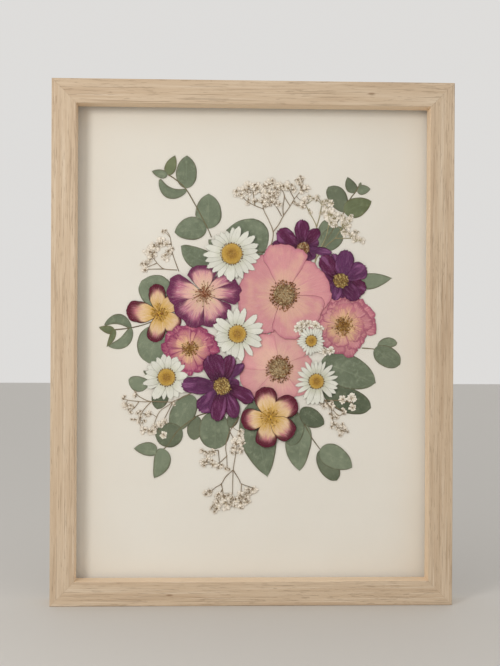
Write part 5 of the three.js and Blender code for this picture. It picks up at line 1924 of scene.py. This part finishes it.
OUTER_PETAL = {
    "streak_share": 0.6, "rim_width": 2.4, "rim_feather": 0.6, "outline_shade_width": 0.4, "outline_shade_share": 0.6,
    "heart_end": 0.46, "feather": 0.5, "tone_range": 0.2,
}
INNER_PETAL = {
    "streak_share": 0.65, "rim_width": 1.4, "rim_feather": 0.9, "rim_share": 0.4, "outline_shade_width": 0.3,
    "outline_shade_share": 0.35, "feather": 0.75, "tone_range": 0.2,
}
PETAL_FINISHES = (
    PetalFinish("daisy_white", heart=(200, 199, 176), body=(230, 228, 218), tip=(238, 235, 226),
                rim=(216, 215, 204), streak=(196, 197, 182), line=(108, 106, 84), heart_end=0.42, streaks=4.0,
                streak_share=0.55, rim_width=0.6, rim_share=0.45, outline_shade_width=0.3, outline_shade_share=0.7,
                fold_depth=0.14 * MM),
    PetalFinish("rose_pale", heart=(230, 186, 168), body=(222, 160, 162), tip=(214, 145, 152),
                rim=(206, 132, 144), streak=(234, 190, 184), line=(168, 112, 108), heart_end=0.46,
                feather=0.5, rim_width=2.2, rim_feather=0.5, rim_share=0.5, outline_shade_width=0.5, outline_shade_share=0.55,
                streaks=22.0, streak_share=0.45, fold_depth=0.22 * MM, tone_range=0.16, wash=0.6),
    PetalFinish("rose_pink", heart=(226, 180, 160), body=(215, 149, 154), tip=(205, 134, 146),
                rim=(194, 118, 138), streak=(232, 184, 180), line=(124, 68, 66), heart_end=0.4, feather=0.5,
                wash=0.6, rim_width=2.4, rim_feather=0.5, rim_share=0.6, outline_shade_width=0.6, outline_shade_share=0.85,
                streaks=22.0, streak_share=0.45, fold_depth=0.18 * MM, tone_range=0.14),
    PetalFinish("petal_violet", heart=(62, 28, 42), body=(98, 42, 74), tip=(120, 57, 92), rim=(72, 28, 52),
                streak=(144, 88, 126), line=(54, 22, 44), streaks=3.4, streak_share=0.5, rim_width=1.5,
                rim_share=0.4, outline_shade_width=0.5, outline_shade_share=0.45, fold_depth=0.5 * MM, tone_range=0.3,
                other=(94, 54, 92), ridge_highlight=(150, 94, 138), wash=0.25),
    PetalFinish("petal_dusky", heart=(230, 188, 154), body=(202, 132, 142), tip=(192, 116, 134),
                rim=(170, 94, 116), streak=(222, 170, 164), line=(146, 74, 96), ridge_highlight=(216, 154, 158),
                streaks=12.0, tip_start=0.74, **OUTER_PETAL),
    PetalFinish("petal_dusky_inner", heart=(228, 192, 144), body=(214, 160, 142), tip=(192, 118, 134),
                rim=(178, 104, 126), streak=(214, 168, 146), line=(176, 106, 116), streaks=12.0,
                heart_end=0.32, tip_start=0.42, **INNER_PETAL),
    PetalFinish("petal_magenta", heart=(224, 172, 146), body=(184, 100, 124), tip=(168, 80, 114),
                rim=(144, 60, 98), streak=(206, 146, 152), line=(146, 66, 100), ridge_highlight=(206, 144, 152),
                streaks=11.0, tip_start=0.7, **OUTER_PETAL),
    PetalFinish("petal_magenta_inner", heart=(228, 190, 144), body=(212, 154, 140), tip=(188, 108, 130),
                rim=(176, 96, 122), streak=(214, 164, 148), line=(170, 90, 116), streaks=11.0,
                heart_end=0.34, tip_start=0.44, **INNER_PETAL),
    PetalFinish("petal_edged", heart=(232, 202, 168), body=(231, 180, 170), tip=(188, 110, 140),
                rim=(92, 32, 72), streak=(244, 222, 210), line=(66, 22, 50), heart_end=0.3, tip_start=0.5,
                feather=0.7, rim_width=10.0, rim_feather=0.22, rim_share=0.86, rim_from=0.38, rim_to=0.92,
                rim_base=0.02, outline_shade_width=0.5, streaks=14.0, streak_share=0.6, speck_share=0.4),
    PetalFinish("petal_cream", heart=(218, 176, 96), body=(234, 198, 158), tip=(200, 120, 132),
                rim=(86, 20, 42), streak=(244, 222, 202), line=(54, 14, 28), heart_end=0.36, tip_start=0.54,
                feather=0.45, rim_width=10.5, rim_feather=0.16, rim_share=0.93, rim_from=0.36, rim_to=0.95,
                rim_base=0.05, outline_shade_width=0.55, outline_shade_share=0.85, streaks=10.0, streak_share=0.55),
    PetalFinish("floret", heart=(234, 220, 198), body=(252, 242, 230), tip=(255, 247, 236),
                rim=(236, 222, 202), streak=(208, 190, 164), line=(178, 154, 124), streaks=3.0,
                streak_share=0.4, rim_width=0.3, outline_shade_width=0.22, outline_shade_share=0.55),
    PetalFinish("floret_white", heart=(240, 226, 202), body=(254, 246, 234), tip=(255, 250, 241),
                rim=(240, 230, 214), streak=(212, 196, 170), line=(156, 130, 98), streaks=4.0,
                streak_share=0.4, rim_width=0.4, outline_shade_width=0.25, outline_shade_share=0.55),
)
OTHER_FINISHES = (
    LeafFinish("leaf_grey", body=(130, 139, 117), deep=(107, 116, 95), vein=(150, 157, 133),
               margin=(106, 101, 78)),
    LeafFinish("leaf_deep", body=(111, 118, 97), deep=(88, 97, 77), vein=(131, 136, 112),
               margin=(94, 88, 66)),
    LeafFinish("leaf_olive", body=(118, 126, 94), deep=(98, 106, 76), vein=(138, 144, 110),
               margin=(110, 102, 72)),
    GrainFinish("twig", ((0.0, (96, 82, 58)), (1.0, (132, 122, 92)))),
    GrainFinish("spray_stem", ((0.0, (112, 92, 68)), (1.0, (160, 140, 112)))),
    GrainFinish("spray_stem_pale", ((0.0, (132, 118, 86)), (1.0, (180, 172, 134)))),
    GrainFinish("disc_gold", ((0.0, (122, 80, 42)), (0.3, (152, 102, 50)), (0.56, (206, 162, 72)),
                (0.88, (220, 184, 98)), (1.0, (160, 122, 58))), 0.45),
    GrainFinish("disc_rim", ((0.0, (96, 60, 26)), (1.0, (160, 116, 50)))),
    GrainFinish("stamen_brown", ((0.0, (84, 50, 30)), (0.3, (146, 94, 54)), (0.48, (178, 130, 84)),
                (0.6, (134, 104, 72)), (1.0, (206, 182, 142))), 0.4),
    GrainFinish("stamen_ochre", ((0.0, (76, 50, 34)), (0.3, (164, 128, 72)), (0.5, (204, 172, 100)),
                (0.62, (118, 84, 50)), (0.8, (198, 168, 100)), (1.0, (230, 208, 146))), 0.4),
    GrainFinish("stamen_gold", ((0.0, (96, 60, 30)), (0.5, (184, 136, 66)), (0.6, (140, 96, 52)),
                (1.0, (200, 160, 96))), 0.4),
    GrainFinish("stamen_rust", ((0.0, (112, 50, 36)), (0.5, (158, 96, 62)), (0.7, (176, 124, 96)),
                (1.0, (200, 150, 120)))),
    GrainFinish("stamen_yellow", ((0.0, (140, 96, 40)), (0.45, (212, 168, 66)), (0.6, (206, 164, 84)),
                (0.75, (150, 100, 52)), (1.0, (92, 48, 34))), 0.5),
    WoodFinish("ash_level", Lie.LEVEL),
    WoodFinish("ash_upright", Lie.UPRIGHT),
    SheetFinish("cream_paper", (239, 234, 226), (232, 225, 215), cloud=12.0),
    SheetFinish("hardboard", (146, 114, 82), (118, 89, 62), cloud=9.0, fibre=420.0, tooth=0.15 * MM),
    MetalFinish("zinc"),
    GlassFinish("clear_glass"),
)


# ---- The frame -----------------------------------------------------------------------------


@dataclass(frozen=True)
class Casing:
    """The rails, glass, paper, board and fittings: CAD nodes with their finishes, and the
    small metal parts that are modelled here."""

    level: tuple[str, ...] = ("rail_top", "rail_bottom")
    upright: tuple[str, ...] = ("rail_left", "rail_right")
    tabs: tuple[str, ...] = ("tab_top", "tab_bottom", "tab_left", "tab_right")
    nail_radius: float = 1.9 * MM
    nail_rise: float = 0.35 * MM
    nail_sunk: float = 0.25 * MM
    nail_thickness: float = 0.35 * MM
    nail_inset: float = 4.0 * MM
    nail_drop: float = 0.8
    tab_lift: float = 1.6 * MM
    tab_flat: float = 0.45
    tab_straight: float = 0.72
    tab_end: float = 0.28

    def paint(self, finishes: Finishes) -> None:
        """Gives each CAD node that stays its finish.

        Args:
            finishes: Materials by name.
        """
        finish_of = dict.fromkeys(self.level, "ash_level") | dict.fromkeys(self.upright, "ash_upright")
        finish_of |= {
            "glass_pane": "clear_glass", "paper_sheet": "cream_paper", "backing_board": "hardboard",
            "sawtooth_hanger": "zinc",
        }
        for name, finish in finish_of.items():
            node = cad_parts[name]
            node.data.materials.clear()
            node.data.materials.append(finishes[finish])
            LOG.info("%s takes %s", name, finish)
        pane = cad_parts["glass_pane"]
        pane.visible_shadow = False
        pane.visible_diffuse = False

    def nails(self, finishes: Finishes) -> bpy.types.Object:
        """Builds the hanger's two nail heads: low domes whose height falls as the square of
        the radius.

        Args:
            finishes: Materials by name.

        Returns:
            The piece.
        """
        low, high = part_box("sawtooth_hanger")
        u = np.linspace(0.125, 1, 8)[:, None]
        a = round_turn(24)[None, :]
        work = Patchwork()
        for x in (low.x + self.nail_inset, high.x - self.nail_inset):
            z = high.z - self.nail_inset * self.nail_drop
            y = high.y - self.nail_sunk
            px, pz = x + self.nail_radius * u * np.cos(a), z + self.nail_radius * u * np.sin(a)
            crown = np.stack([px, y + self.nail_rise * (1 - u**2) + 0 * a, pz], -1)
            work.dish(crown, np.array([x, y + self.nail_rise, z]), self.nail_thickness, 0.5)
        return dress(work.build("hanger_nails", [finishes["zinc"]]), "steel")

    def tab(self, name: str, finishes: Finishes) -> bpy.types.Object:
        """Builds one bendable tab: a strip with a round end, whose free end lifts off the
        board by a square law so that a fingertip gets under it.

        Args:
            name: CAD node that it stands for.
            finishes: Materials by name.

        Returns:
            The piece.
        """
        low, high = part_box(name)
        middle = (low + high) / 2
        inward = Vector((-middle.x, 0, MIDDLE_Z - middle.z)).normalized()
        side = Vector((-inward.z, 0, inward.x))
        size = high - low
        length, width = max(size.x, size.z), min(size.x, size.z)
        root = middle - inward * (length / 2)
        s = ends_close(16)[:, None]
        t = np.linspace(-1, 1, 9)[None, :]
        end = np.clip((s - self.tab_straight) / self.tab_end, 0, 0.98)
        half = width / 2 * np.sqrt(1 - end**2)
        x = root.x + inward.x * s * length + side.x * t * half
        z = root.z + inward.z * s * length + side.z * t * half
        y = low.y + self.tab_lift * np.clip(s - self.tab_flat, 0, 1) ** 2 + 0 * t
        work = Patchwork()
        uv = np.stack(np.broadcast_arrays(t * 0.5 + 0.5, s), -1)
        work.sheet(np.stack([x, y, z], -1), uv, (1 - np.abs(t)) + 0 * s, 0.5, size.y)
        return dress(work.build(f"{name}_strip", [finishes["zinc"]]), "steel", name)

    def build(self, finishes: Finishes) -> None:
        """Paints the CAD nodes and builds the metal parts.

        Args:
            finishes: Materials by name.
        """
        self.paint(finishes)
        self.nails(finishes)
        for name in self.tabs:
            self.tab(name, finishes)


# ---- Camera, light and floor ---------------------------------------------------------------


@dataclass(frozen=True)
class Studio:
    """A pale floor, a soft key light from the upper left, an even surround and the camera."""

    image_height: float = 666.0
    focal_pixels: float = 1224.0
    sensor: float = 36.0
    eye: tuple[float, float, float] = (-42.5, -1000.0, 12.55)
    yaw: float = -0.0397
    pitch: float = -0.0041
    roll: float = -0.0049
    key_place: tuple[float, float, float] = (-0.52, -0.9, 0.55)
    key_size: float = 0.24
    key_power: float = 3.6
    key_colour: tuple[float, float, float] = (1.0, 0.975, 0.94)
    surround: float = 0.73
    surround_colour: tuple[float, float, float, float] = (1.0, 0.985, 0.965, 1.0)
    floor_colour: Colour = (206, 203, 198)
    floor_roughness: float = 0.7
    floor_half: float = 4.0
    clip: tuple[float, float] = (0.01, 50.0)

    def camera(self) -> None:
        """Places the camera: its eye is given in millimetres from the middle of the frame's
        front, and it is turned by yaw, pitch and roll in that order."""
        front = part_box("rail_bottom")[0].y
        data = bpy.data.cameras.new("camera")
        data.sensor_fit = "VERTICAL"
        data.sensor_height = self.sensor
        data.lens = self.focal_pixels / self.image_height * self.sensor
        data.clip_start, data.clip_end = self.clip
        camera = bpy.data.objects.new("camera", data)
        turn = Matrix.Rotation(self.yaw, 3, "Z") @ Matrix.Rotation(self.pitch, 3, "X")
        turn = turn @ Matrix.Rotation(self.roll, 3, "Y")
        right, ahead, up = (turn.col[i] for i in range(3))
        basis = Matrix((right, up, -ahead)).transposed()
        spot = Vector(self.eye) * MM + Vector((0, front, MIDDLE_Z))
        camera.matrix_world = Matrix.Translation(spot) @ basis.to_4x4()
        link(camera)
        bpy.context.scene.camera = camera

    def lights(self) -> None:
        """Adds the key light and the even surround."""
        data = bpy.data.lights.new("key", "AREA")
        data.size = self.key_size
        data.energy = self.key_power
        data.color = self.key_colour
        key = bpy.data.objects.new("key", data)
        spot = Vector(self.key_place)
        aim = (Vector((0, 0, MIDDLE_Z)) - spot).to_track_quat("-Z", "Y")
        key.matrix_world = Matrix.Translation(spot) @ aim.to_matrix().to_4x4()
        link(key)
        world = bpy.data.worlds.new("surround")
        world.use_nodes = True
        background = world.node_tree.nodes["Background"]
        background.inputs["Color"].default_value = self.surround_colour
        background.inputs["Strength"].default_value = self.surround
        bpy.context.scene.world = world

    def floor(self) -> None:
        """Adds the floor, a plain pale square under the frame."""
        side = self.floor_half
        corners = [(-side, -side, 0), (side, -side, 0), (side, side, 0), (-side, side, 0)]
        mesh = bpy.data.meshes.new("floor")
        mesh.from_pydata(corners, [], [(0, 1, 2, 3)])
        g = Graph("floor")
        g.done(linear(self.floor_colour), self.floor_roughness)
        mesh.materials.append(g.material)
        floor = bpy.data.objects.new("floor", mesh)
        link(floor)

    def build(self) -> None:
        """Builds the whole studio."""
        self.camera()
        self.lights()
        self.floor()
        bpy.context.scene.view_settings.view_transform = "Standard"


def main() -> None:
    """Builds the studio, the frame and every specimen."""
    logging.basicConfig(level=logging.INFO, format="%(message)s")
    Studio().build()
    finishes = {finish.name: finish.build() for finish in PETAL_FINISHES + OTHER_FINISHES}
    Casing().build(finishes)
    for specimen in FLOWERS + SPRIGS + SPRAYS:
        specimen.build(finishes)


if __name__ == "__main__":
    main()
